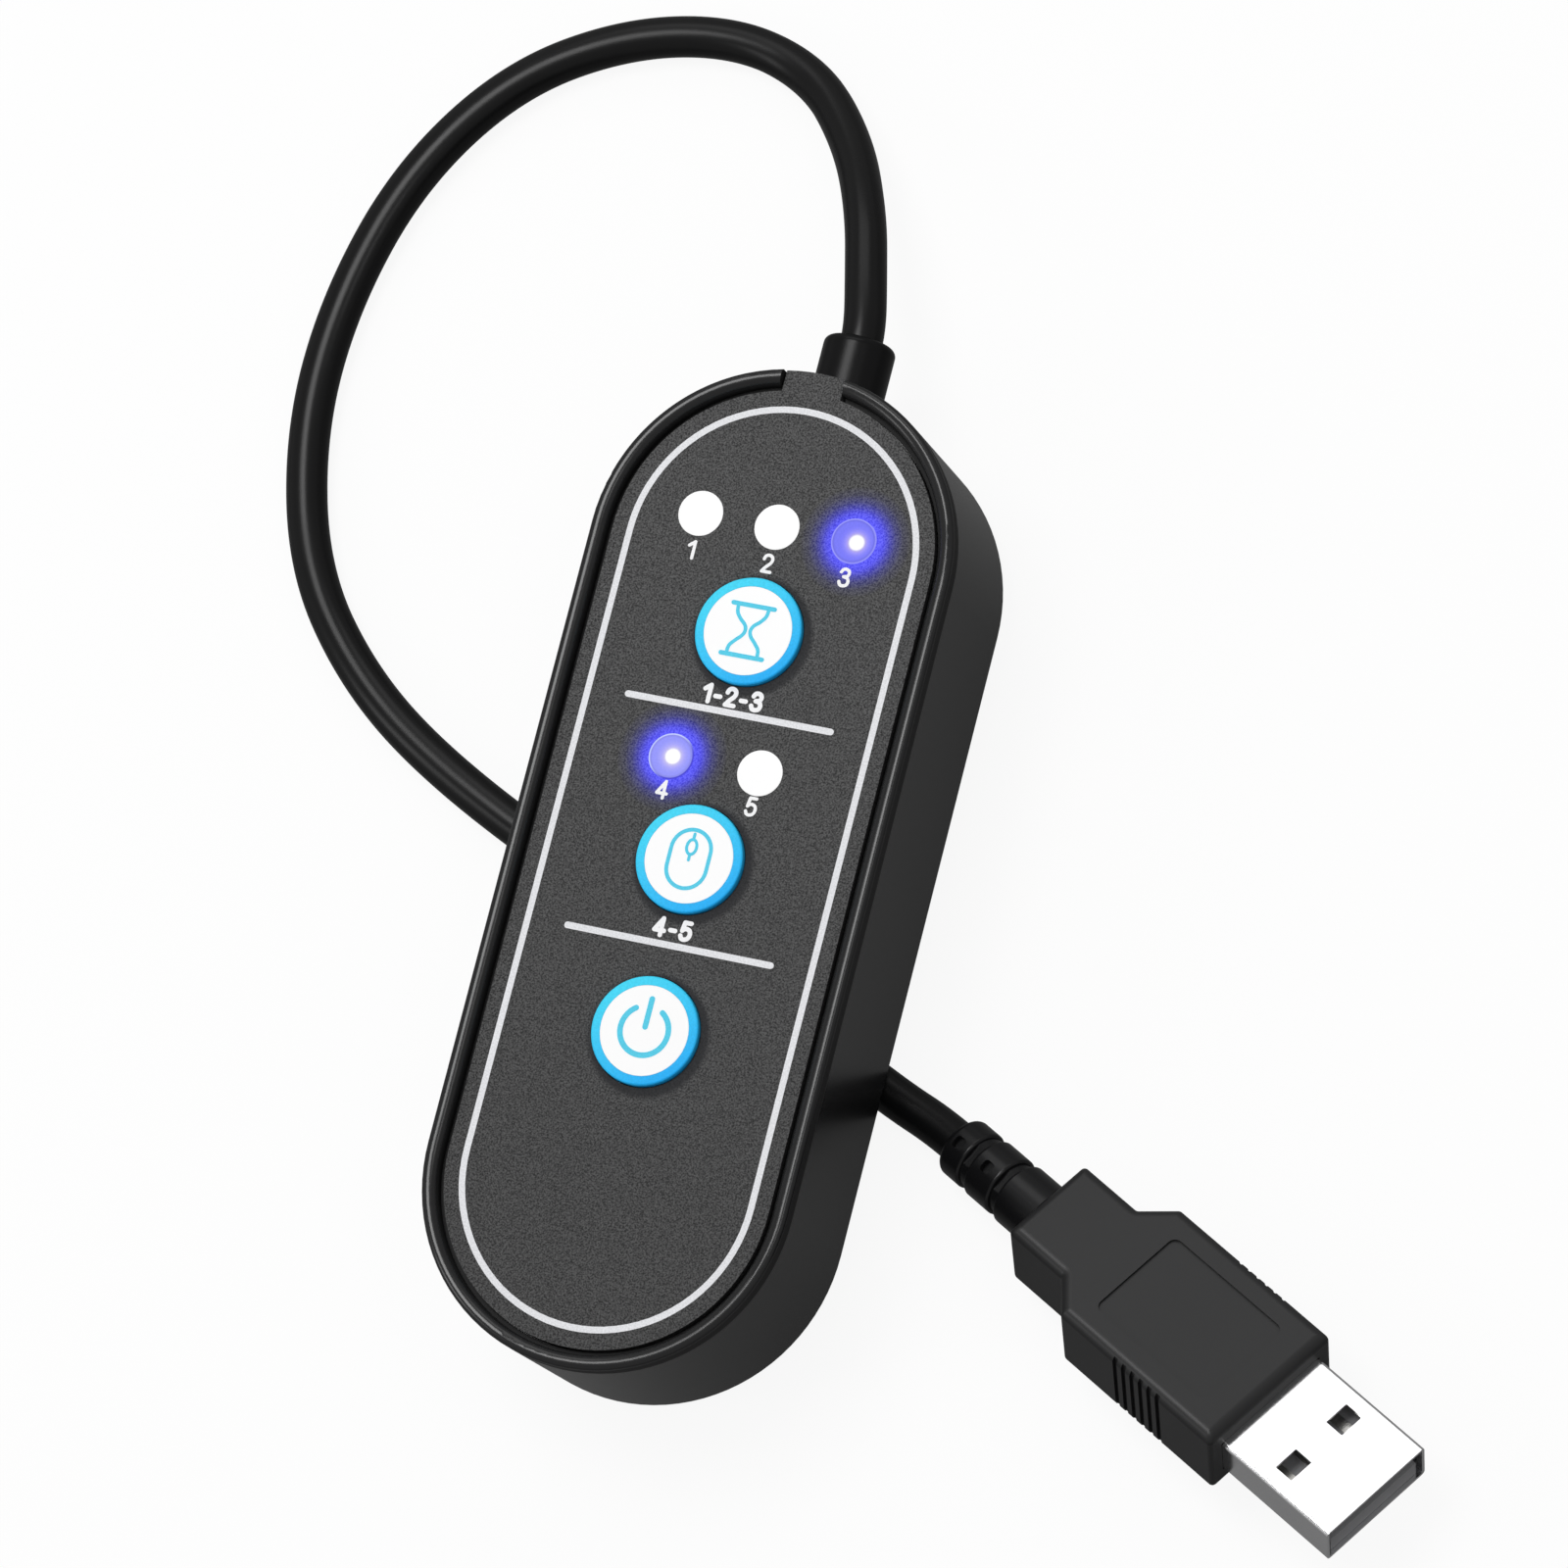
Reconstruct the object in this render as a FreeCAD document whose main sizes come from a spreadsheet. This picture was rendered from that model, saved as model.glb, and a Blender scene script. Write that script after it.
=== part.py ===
"""Mouse jiggler with three push buttons, five indicator windows and a USB-A plug on a short cord.

Millimetres. +X is the width, +Y points at the end that the cord leaves, +Z is up through the panel.
The origin is the middle of the housing block. The housing lies on its own cord, as the loop passes
back under it, so the floor is one cord's thickness below the housing's back.
"""

import FreeCAD, Part

import math
import os

import Sketcher
from FreeCAD import Placement, Rotation, Vector

SIZES = [
    # housing tub
    ("housing_length", 92.4),
    ("housing_width", 34.2),
    ("housing_height", 18.6),
    ("wall", 2.4),
    ("back_thickness", 1.8),
    ("back_edge_round", 0.4),
    ("bead_width", 1.4),
    ("bead_height", 0.85),
    ("bead_outer_round", 0.56),
    ("bead_inner_round", 0.8),
    ("groove_width", 0.4),
    ("groove_depth", 0.8),
    ("boss_diameter", 4.6),
    ("boss_across", 20.8),
    ("boss_top_row", 26.0),
    ("boss_bottom_row", 29.0),
    ("saddle_thickness", 1.6),
    ("saddle_width", 9.0),
    ("saddle_place", 40.6),
    # front panel
    ("panel_thickness", 1.8),
    ("panel_gap", 0.1),
    ("tab_width", 5.6),
    ("tab_gap", 0.2),
    ("skirt_depth", 2.0),
    ("skirt_thickness", 1.0),
    ("skirt_gap", 0.1),
    ("snap_length", 5.0),
    ("snap_height", 0.8),
    ("snap_reach", 0.45),
    ("snap_clearance", 0.15),
    ("snap_spacing", 22.0),
    # buttons and their switches
    ("button_diameter", 9.92),
    ("button_gap", 0.1),
    ("button_proud", 0.6),
    ("button_edge_round", 0.2),
    ("flange_diameter", 11.8),
    ("flange_thickness", 0.9),
    ("flange_gap", 0.05),
    ("disc_diameter", 8.2),
    ("disc_thickness", 0.5),
    ("disc_gap", 0.02),
    ("cap_hollow_diameter", 8.4),
    ("cap_hollow_depth", 1.5),
    ("nub_diameter", 2.6),
    ("nub_length", 0.5),
    ("time_button_place", 21.65),
    ("mode_button_place", 0.39),
    ("power_button_place", -15.52),
    ("switch_width", 6.0),
    ("switch_height", 3.5),
    ("switch_edge_round", 0.4),
    ("switch_leg_width", 0.7),
    ("switch_leg_reach", 1.2),
    ("switch_leg_thickness", 0.3),
    ("switch_leg_spacing", 4.5),
    ("plunger_diameter", 3.4),
    ("plunger_top", 5.0),
    ("plunger_depth", 0.7),
    ("plunger_gap", 0.08),
    ("plunger_spare", 0.3),
    ("button_travel", 0.4),
    # indicator windows and lamps
    ("window_diameter", 4.2),
    ("window_gap", 0.03),
    ("window_flange_diameter", 5.2),
    ("window_flange_thickness", 0.7),
    ("light_guide_diameter", 3.4),
    ("light_guide_gap", 0.3),
    ("time_window_place", 31.58),
    ("time_window_spacing", 7.35),
    ("mode_window_place", 9.27),
    ("mode_window_spacing", 8.5),
    ("lamp_width", 3.0),
    ("lamp_depth", 2.6),
    ("lamp_height", 1.2),
    ("lamp_well_diameter", 2.0),
    ("lamp_well_depth", 0.4),
    # circuit board and what is on it
    ("board_width", 26.4),
    ("board_thickness", 1.6),
    ("board_end_centre", 27.0),
    ("board_cord_end", 35.2),
    ("screw_diameter", 2.0),
    ("screw_hole_gap", 0.1),
    ("screw_length", 5.0),
    ("pilot_spare", 0.5),
    ("screw_head_diameter", 3.8),
    ("screw_head_height", 1.3),
    ("screw_recess_width", 2.4),
    ("chip_length", 8.6),
    ("chip_width", 3.9),
    ("chip_height", 1.45),
    ("chip_standoff", 0.15),
    ("chip_place", -26.5),
    ("chip_leg_pitch", 1.27),
    ("chip_leg_width", 0.42),
    ("chip_leg_thickness", 0.2),
    ("chip_leg_reach", 1.05),
    ("crystal_length", 10.0),
    ("crystal_width", 4.2),
    ("crystal_height", 3.4),
    ("crystal_end_round", 1.9),
    ("crystal_place", -34.0),
    ("capacitor_diameter", 4.0),
    ("capacitor_height", 4.4),
    ("capacitor_across", 8.2),
    ("capacitor_place", -9.0),
    ("resistor_length", 1.6),
    ("resistor_width", 0.8),
    ("resistor_height", 0.45),
    # cord, its boot and its wires
    ("cord_diameter", 3.9),
    ("cord_exit_height", 8.0),
    ("cord_slack", 0.1),
    ("cord_inner_end", 39.5),
    ("boot_diameter", 6.7),
    ("boot_length", 5.95),
    ("boot_round", 0.75),
    ("boot_gap", 0.05),
    ("boot_flange_diameter", 8.6),
    ("boot_flange_thickness", 1.2),
    ("boot_flange_sag", 0.7),
    ("boot_bore_gap", 0.02),
    ("wire_diameter", 0.9),
    ("wire_spread", 0.56),
    ("wire_lift", 0.05),
    ("wire_straight", 1.3),
    ("wire_over_edge", 0.7),
    ("wire_past_pad", 0.6),
    ("wire_pad_pitch", 1.8),
    ("wire_pad_place", 33.9),
    # plug
    ("plug_x", 59.9),
    ("plug_y", -35.22),
    ("plug_turn", -27.73),
    ("plug_lift", 5.23),
    ("plug_roll", 21.14),
    ("grip_length", 18.4),
    ("grip_width", 14.8),
    ("shoulder_length", 2.75),
    ("neck_length", 6.6),
    ("neck_width", 9.4),
    ("plug_thickness", 9.0),
    ("plug_edge_round", 1.0),
    ("plug_corner_round", 0.4),
    ("rib_pitch", 1.04),
    ("rib_groove_width", 0.5),
    ("rib_groove_depth", 0.3),
    ("rib_first_near", 6.55),
    ("rib_first_far", 5.65),
    ("badge_recess_length", 13.4),
    ("badge_recess_width", 9.9),
    ("badge_recess_depth", 0.25),
    ("badge_recess_place", 9.95),
    ("badge_recess_round", 0.8),
    ("relief_front_collar", 4.22),
    ("relief_middle_collar", 3.26),
    ("relief_rear_collar", 2.77),
    ("relief_front_diameter", 6.1),
    ("relief_middle_diameter", 5.9),
    ("relief_rear_diameter", 5.8),
    ("relief_core_diameter", 5.2),
    ("relief_core_thickness", 4.7),
    ("relief_root_step", 0.1),
    ("relief_end_round", 0.6),
    ("relief_collar_round", 0.3),
    ("relief_gap_width", 0.85),
    ("relief_slot_length", 1.15),
    ("relief_slot_width", 1.15),
    ("relief_slot_depth", 0.7),
    ("relief_slot_round", 0.3),
    ("relief_turn", -2.6),
    ("relief_drop", 7.0),
    ("relief_roll", 20.0),
    ("shell_width", 12.0),
    ("shell_height", 4.5),
    ("shell_sheet", 0.3),
    ("shell_corner_round", 0.4),
    ("shell_exposed", 12.7),
    ("shell_embedded", 6.5),
    ("shell_gap", 0.02),
    ("shell_hole_width", 2.5),
    ("shell_hole_length", 1.9),
    ("shell_hole_place", 5.85),
    ("shell_hole_spacing", 6.2),
    ("tongue_thickness", 1.85),
    ("tongue_gap", 0.05),
    ("tongue_set_back", 0.35),
    ("tongue_block_front", 3.5),
    ("contact_width", 1.0),
    ("contact_thickness", 0.2),
    ("contact_back", 3.6),
    ("contact_inner_length", 6.2),
    ("contact_outer_length", 7.2),
    ("contact_inner_spacing", 2.0),
    ("contact_outer_spacing", 7.0),
]

# Heights and places that follow from the sizes
LEVELS = [
    ("back_level", "-Sizes.housing_height / 2"),
    ("top_level", "Sizes.housing_height / 2"),
    ("floor_level", "-Sizes.housing_height / 2 - Sizes.cord_diameter - Sizes.cord_slack"),
    ("inside_level", "-Sizes.housing_height / 2 + Sizes.back_thickness"),
    ("panel_level", "Sizes.housing_height / 2 - Sizes.bead_height"),
    ("panel_under", "panel_level - Sizes.panel_thickness"),
    ("flange_level", "panel_under - Sizes.flange_gap"),
    ("cap_under", "flange_level - Sizes.flange_thickness"),
    ("nub_level", "cap_under - Sizes.nub_length"),
    ("board_level", "nub_level - Sizes.plunger_top"),
    ("board_under", "board_level - Sizes.board_thickness"),
    ("switch_level", "board_level + Sizes.switch_height"),
    ("cord_level", "back_level + Sizes.cord_exit_height"),
    ("outer_radius", "Sizes.housing_width / 2"),
    ("end_centre", "(Sizes.housing_length - Sizes.housing_width) / 2"),
    ("inner_radius", "outer_radius - Sizes.wall"),
    ("bead_radius", "outer_radius - Sizes.bead_width"),
    ("seat_radius", "bead_radius - Sizes.groove_width"),
    ("panel_radius", "seat_radius - Sizes.panel_gap"),
    ("skirt_radius", "inner_radius - Sizes.skirt_gap"),
    ("slot_width", "Sizes.tab_width + 2 * Sizes.tab_gap"),
    ("wall_inside", "end_centre + inner_radius"),
    ("wall_middle", "end_centre + outer_radius - Sizes.wall / 2"),
    ("wall_outside", "end_centre + outer_radius"),
    ("neck_half", "slot_width / 2 - Sizes.boot_gap"),
    ("tongue_level", "cord_level + neck_half + Sizes.panel_gap"),
    ("boot_end", "wall_outside + Sizes.boot_length"),
    ("lamp_level", "board_level + Sizes.lamp_height"),
    ("plug_length", "Sizes.grip_length + Sizes.shoulder_length + Sizes.neck_length"),
    (
        "plug_level",
        "floor_level + Sizes.grip_length * sin(Sizes.plug_lift * 1deg) + Sizes.plug_edge_round"
        " + ((Sizes.grip_width / 2 - Sizes.plug_edge_round) * sin(Sizes.plug_roll * 1deg)"
        " + (Sizes.plug_thickness / 2 - Sizes.plug_edge_round) * cos(Sizes.plug_roll * 1deg))"
        " * cos(Sizes.plug_lift * 1deg)",
    ),
]

BUTTONS = ("time", "mode", "power")

# Places along the housing of the board's screws
SCREW_ROWS = ("Sizes.boss_top_row", "-Sizes.boss_bottom_row")

# (name, which row, place across in window spacings)
WINDOWS = [
    ("time_window_left", "time", -1),
    ("time_window_middle", "time", 0),
    ("time_window_right", "time", 1),
    ("mode_window_left", "mode", -0.5),
    ("mode_window_right", "mode", 0.5),
]

# Small resistors on the board: (across, along)
RESISTOR_PLACES = [(7.6, 5.0), (-7.6, 5.0), (7.6, 14.5), (-7.6, 14.5), (6.5, -21.5), (-6.5, -21.5)]

# The cord's route between the boot and the plug: (x, y, height of its axis above the floor).
# None is a cord lying on the floor.
CORD_ROUTE = [
    (-1.0, 58.0, 11.35),
    (-3.4, 65.0, 9.2),
    (-7.7, 72.5, 5.4),
    (-14.2, 79.2, 2.4),
    (-22.9, 82.0, None),
    (-33.6, 80.2, None),
    (-43.9, 74.2, None),
    (-51.5, 63.3, None),
    (-55.0, 50.0, None),
    (-55.0, 37.2, None),
    (-51.0, 24.0, None),
    (-43.0, 14.5, None),
    (-32.7, 7.6, None),
    (-16.0, 0.2, None),
    (2.0, -6.6, None),
    (12.0, -10.95, None),
    (18.2, -13.8, 2.15),
]
CORD_LEAVES_BOOT = 1.6  # straight run out of the boot
CORD_MEETS_PLUG = 3.0  # straight run into the strain relief
ARC_SHARE = 0.45  # of the shorter run, taken by each bend

doc = FreeCAD.newDocument("mouse_jiggler")


def fill_sheet(label, rows, formula):
    """A sheet with a name, a value and an alias in each row."""
    sheet = doc.addObject("Spreadsheet::Sheet", label)
    for row, (alias, value) in enumerate(rows, start=1):
        sheet.set(f"A{row}", alias.replace("_", " "))
        sheet.setAlias(f"B{row}", alias)
        sheet.set(f"B{row}", f"={value}" if formula else str(value))
    doc.recompute()
    return {alias: float(getattr(sheet, alias)) for alias, _ in rows}


size = fill_sheet("Sizes", SIZES, formula=False)
level = fill_sheet("Levels", LEVELS, formula=True)


# ---- helpers: every formula names cells of the sheets, such as Sizes.wall or Levels.top_level ----


def new_body(label):
    body = doc.addObject("PartDesign::Body", label)
    body.Label = label
    return body


def new_sketch(body, name, up="0", across="0", along="0", plane="XY_Plane"):
    """A sketch on one of the body's own origin planes, shifted by three formulas."""
    sketch = body.newObject("Sketcher::SketchObject", name)
    origin = next(f for f in body.Origin.OriginFeatures if f.Role == plane)
    sketch.AttachmentSupport = [(origin, "")]
    sketch.MapMode = "FlatFace"
    for axis, formula in zip("xyz", (across, along, up)):
        if formula != "0":
            sketch.setExpression(f"AttachmentOffset.Base.{axis}", formula)
    return sketch


def dimension(sketch, formula, kind, *where):
    """A driving dimension whose value follows a formula."""
    number = sketch.addConstraint(Sketcher.Constraint(kind, *where, 1.0))
    sketch.setExpression(f"Constraints[{number}]", formula)


def draw_circle(sketch, radius):
    index = sketch.addGeometry(Part.Circle(Vector(0, 0, 0), Vector(0, 0, 1), 1.0))
    sketch.addConstraint(Sketcher.Constraint("Coincident", index, 3, -1, 1))
    dimension(sketch, radius, "Radius", index)


def draw_rectangle(sketch, width, height):
    """A rectangle centred on the sketch's origin."""
    corners = [Vector(-1, -1, 0), Vector(1, -1, 0), Vector(1, 1, 0), Vector(-1, 1, 0)]
    sides = [Part.LineSegment(corners[i], corners[(i + 1) % 4]) for i in range(4)]
    first = sketch.addGeometry(sides)[0]
    for side in range(4):
        sketch.addConstraint(
            Sketcher.Constraint("Coincident", first + side, 2, first + (side + 1) % 4, 1)
        )
        direction = "Vertical" if side % 2 else "Horizontal"
        sketch.addConstraint(Sketcher.Constraint(direction, first + side))
    sketch.addConstraint(Sketcher.Constraint("Symmetric", first, 1, first + 1, 2, -1, 1))
    dimension(sketch, width, "DistanceX", first, 1, first, 2)
    dimension(sketch, height, "DistanceY", first + 1, 1, first + 1, 2)


def draw_stadium(sketch, radius, centres):
    """A pill outline along Y: its round ends' radius, and the distance between their centres."""
    r, reach = 10.0, 20.0
    up = Part.LineSegment(Vector(r, -reach, 0), Vector(r, reach, 0))
    down = Part.LineSegment(Vector(-r, reach, 0), Vector(-r, -reach, 0))
    far = Part.ArcOfCircle(Part.Circle(Vector(0, reach, 0), Vector(0, 0, 1), r), 0, math.pi)
    near = Part.ArcOfCircle(
        Part.Circle(Vector(0, -reach, 0), Vector(0, 0, 1), r), math.pi, 2 * math.pi
    )
    first = sketch.addGeometry([up, far, down, near])[0]
    for side in range(4):
        sketch.addConstraint(
            Sketcher.Constraint("Tangent", first + side, 2, first + (side + 1) % 4, 1)
        )
    sketch.addConstraint(Sketcher.Constraint("Vertical", first))
    sketch.addConstraint(Sketcher.Constraint("PointOnObject", first + 1, 3, -2))
    sketch.addConstraint(Sketcher.Constraint("Symmetric", first + 1, 3, first + 3, 3, -1, 1))
    dimension(sketch, radius, "Radius", first + 1)
    dimension(sketch, centres, "DistanceY", first + 3, 3, first + 1, 3)


def draw_profile(sketch, points):
    """A closed outline of straight sides through (across, along) pairs of formulas.

    Each pair is measured from the sketch's origin, towards + or - as its sign character says.
    """
    signs = [(-1 if a[0] == "-" else 1, -1 if b[0] == "-" else 1) for a, b in points]
    count = len(points)
    rough = []
    for i, (sx, sy) in enumerate(signs):
        angle = 2 * math.pi * i / count
        rough.append(Vector(sx * (20 + 5 * math.cos(angle)), sy * (20 + 5 * math.sin(angle)), 0))
    sides = [Part.LineSegment(rough[i], rough[(i + 1) % count]) for i in range(count)]
    first = sketch.addGeometry(sides)[0]
    for side in range(count):
        sketch.addConstraint(
            Sketcher.Constraint("Coincident", first + side, 2, first + (side + 1) % count, 1)
        )
    for side, ((across, along), (sx, sy)) in enumerate(zip(points, signs)):
        for kind, formula, sign, axis in (
            ("DistanceX", across, sx, -2),
            ("DistanceY", along, sy, -1),
        ):
            bare = formula.lstrip("+-")
            if bare == "0":
                sketch.addConstraint(Sketcher.Constraint("PointOnObject", first + side, 1, axis))
            elif sign > 0:
                dimension(sketch, bare, kind, -1, 1, first + side, 1)
            else:
                dimension(sketch, bare, kind, first + side, 1, -1, 1)


def pad(body, sketch, length, name, down=False):
    """Add material above a sketch, or below it."""
    feature = body.newObject("PartDesign::Pad", name)
    feature.Profile = sketch
    feature.Reversed = down
    feature.setExpression("Length", length)
    doc.recompute()
    return feature


def pocket(body, sketch, depth, name, up=False):
    """Cut material below a sketch, or above it, and make sure that something was cut."""
    before = body.Shape.Volume
    feature = body.newObject("PartDesign::Pocket", name)
    feature.Profile = sketch
    feature.Reversed = up
    feature.setExpression("Length", depth)
    doc.recompute()
    if body.Shape.Volume >= before:
        raise ValueError(f"{body.Label}: {name} cuts nothing")
    return feature


def round_edges(body, edges, radius, name):
    last = body.Tip
    feature = body.newObject("PartDesign::Fillet", name)
    feature.Base = (last, edges)
    feature.setExpression("Radius", radius)
    doc.recompute()
    if not edges or "Invalid" in feature.State:
        raise ValueError(f"{body.Label}: {name} rounds nothing")
    return feature


def across(edge):
    """How far an edge reaches from the middle line."""
    return max(abs(edge.BoundBox.XMin), abs(edge.BoundBox.XMax))


def edges_at(shape, height, wanted=lambda edge: True):
    """Names of the edges that lie flat at a height and pass a test."""
    names = []
    for number, edge in enumerate(shape.Edges, start=1):
        box = edge.BoundBox
        if abs(box.ZMin - height) < 1e-4 and abs(box.ZMax - height) < 1e-4 and wanted(edge):
            names.append(f"Edge{number}")
    return names


def place(thing, x="0", y="0", z="0"):
    for axis, formula in zip("xyz", (x, y, z)):
        if formula != "0":
            thing.setExpression(f"Placement.Base.{axis}", formula)
    return thing


def box(name, length, width, height, x="0", y="0", z="0"):
    """A box whose length and width are centred on (x, y), standing on z."""
    thing = doc.addObject("Part::Box", name)
    thing.setExpression("Length", length)
    thing.setExpression("Width", width)
    thing.setExpression("Height", height)
    return place(thing, f"{x} - ({length}) / 2", f"{y} - ({width}) / 2", z)


def cylinder(name, radius, height, x="0", y="0", z="0"):
    thing = doc.addObject("Part::Cylinder", name)
    thing.setExpression("Radius", radius)
    thing.setExpression("Height", height)
    return place(thing, x, y, z)


def lying_cylinder(name, radius, length, x, y, z):
    """A cylinder along +Y from (x, y, z)."""
    thing = cylinder(name, radius, length)
    thing.Placement.Rotation = Rotation(Vector(1, 0, 0), -90)
    return place(thing, x, y, z)


def cut(name, base, tool):
    thing = doc.addObject("Part::Cut", name)
    thing.Base = base
    thing.Tool = tool
    return thing


def fuse(name, things, refine=True):
    thing = doc.addObject("Part::MultiFuse", name)
    thing.Shapes = things
    thing.Refine = refine
    return thing


def group(name, things):
    """Separate solids kept as one sub-part."""
    thing = doc.addObject("Part::Compound", name)
    thing.Links = things
    return thing


def round_part(name, base, radius, wanted):
    """Round the edges of a Part object that pass a test."""
    doc.recompute()
    thing = doc.addObject("Part::Fillet", name)
    thing.Base = base
    numbers = [i for i, edge in enumerate(base.Shape.Edges, start=1) if wanted(edge)]
    thing.Edges = [(i, radius, radius) for i in numbers]
    return thing


parts = {}


def keep(node, thing):
    """Name a finished sub-part after its node."""
    thing.Label = node
    parts[node] = thing


# ---- housing tub ----


def make_housing_tub():
    body = new_body("housing_tub")
    centres = "2 * Levels.end_centre"
    outline = new_sketch(body, "tub_outline", up="Levels.back_level")
    draw_stadium(outline, "Levels.outer_radius", centres)
    pad(body, outline, "Sizes.housing_height", "tub_block")

    inside = new_sketch(body, "tub_inside", up="Levels.top_level")
    draw_stadium(inside, "Levels.inner_radius", centres)
    pocket(body, inside, "Sizes.housing_height - Sizes.back_thickness", "tub_hollow")

    seat = new_sketch(body, "panel_seat_outline", up="Levels.top_level")
    draw_stadium(seat, "Levels.seat_radius", centres)
    pocket(body, seat, "Levels.top_level - Levels.panel_under", "panel_seat")

    # a narrow groove stays open between the panel's edge and the bead
    groove = new_sketch(body, "groove_outline", up="Levels.top_level")
    draw_stadium(groove, "Levels.bead_radius", centres)
    pocket(body, groove, "Sizes.bead_height + Sizes.groove_depth", "groove")

    outer_radius, bead_radius = level["outer_radius"], level["bead_radius"]
    outer = edges_at(body.Shape, level["top_level"], lambda e: abs(across(e) - outer_radius) < 0.01)
    round_edges(body, outer, "Sizes.bead_outer_round", "bead_outside")
    inner = edges_at(body.Shape, level["top_level"], lambda e: abs(across(e) - bead_radius) < 0.01)
    round_edges(body, inner, "Sizes.bead_inner_round", "bead_inside")
    back = edges_at(body.Shape, level["back_level"])
    round_edges(body, back, "Sizes.back_edge_round", "back_edge")

    # the open slot that the cord's boot drops into
    slot = new_sketch(body, "cord_slot_outline", up="Levels.cord_level", along="Levels.wall_middle")
    draw_rectangle(slot, "Levels.slot_width", "2 * Sizes.wall")
    pocket(body, slot, "Levels.top_level - Levels.cord_level + 1", "cord_slot", up=True)
    round_end = new_sketch(
        body, "cord_slot_end", up="-Levels.wall_middle - Sizes.wall", along="Levels.cord_level",
        plane="XZ_Plane",
    )
    draw_circle(round_end, "Levels.slot_width / 2")
    pocket(body, round_end, "2 * Sizes.wall", "cord_slot_bottom", up=True)

    # recesses that take the panel's snap lugs
    for side in (-1, 1):
        for row in (-1, 0, 1):
            recess = new_sketch(
                body,
                "snap_recess_outline",
                up="Levels.panel_under - Sizes.skirt_depth - Sizes.snap_clearance",
                across=f"{side} * Levels.inner_radius",
                along=f"{row} * Sizes.snap_spacing",
            )
            draw_rectangle(
                recess,
                "2 * (Sizes.snap_reach - Sizes.skirt_gap + Sizes.snap_clearance)",
                "Sizes.snap_length + 2 * Sizes.snap_clearance",
            )
            pocket(
                body, recess, "Sizes.snap_height + 2 * Sizes.snap_clearance", "snap_recess", up=True
            )

    # bosses for the board's screws, each with its pilot hole
    for side in (-1, 1):
        for row in SCREW_ROWS:
            spot = {"across": f"{side} * Sizes.boss_across / 2", "along": row}
            boss = new_sketch(body, "boss_outline", up="Levels.inside_level", **spot)
            draw_circle(boss, "Sizes.boss_diameter / 2")
            pad(body, boss, "Levels.board_under - Levels.inside_level", "boss")
            pilot = new_sketch(body, "pilot_outline", up="Levels.board_under", **spot)
            draw_circle(pilot, "Sizes.screw_diameter / 2 + Sizes.screw_hole_gap / 2")
            pocket(
                body, pilot, "Sizes.screw_length - Sizes.board_thickness + Sizes.pilot_spare",
                "pilot_hole",
            )

    # saddle under the cord's inner end
    saddle = new_sketch(
        body, "saddle_outline", up="Levels.inside_level", along="Sizes.saddle_place"
    )
    draw_rectangle(saddle, "Sizes.saddle_width", "Sizes.saddle_thickness")
    pad(body, saddle, "Levels.cord_level - Levels.inside_level", "saddle")
    cradle = new_sketch(
        body, "cradle_outline", up="-Sizes.saddle_place - Sizes.saddle_thickness",
        along="Levels.cord_level", plane="XZ_Plane",
    )
    draw_circle(cradle, "Sizes.cord_diameter / 2 + Sizes.boot_bore_gap")
    pocket(body, cradle, "2 * Sizes.saddle_thickness", "cradle", up=True)
    keep("housing_tub", body)


make_housing_tub()


# ---- front panel ----


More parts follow.
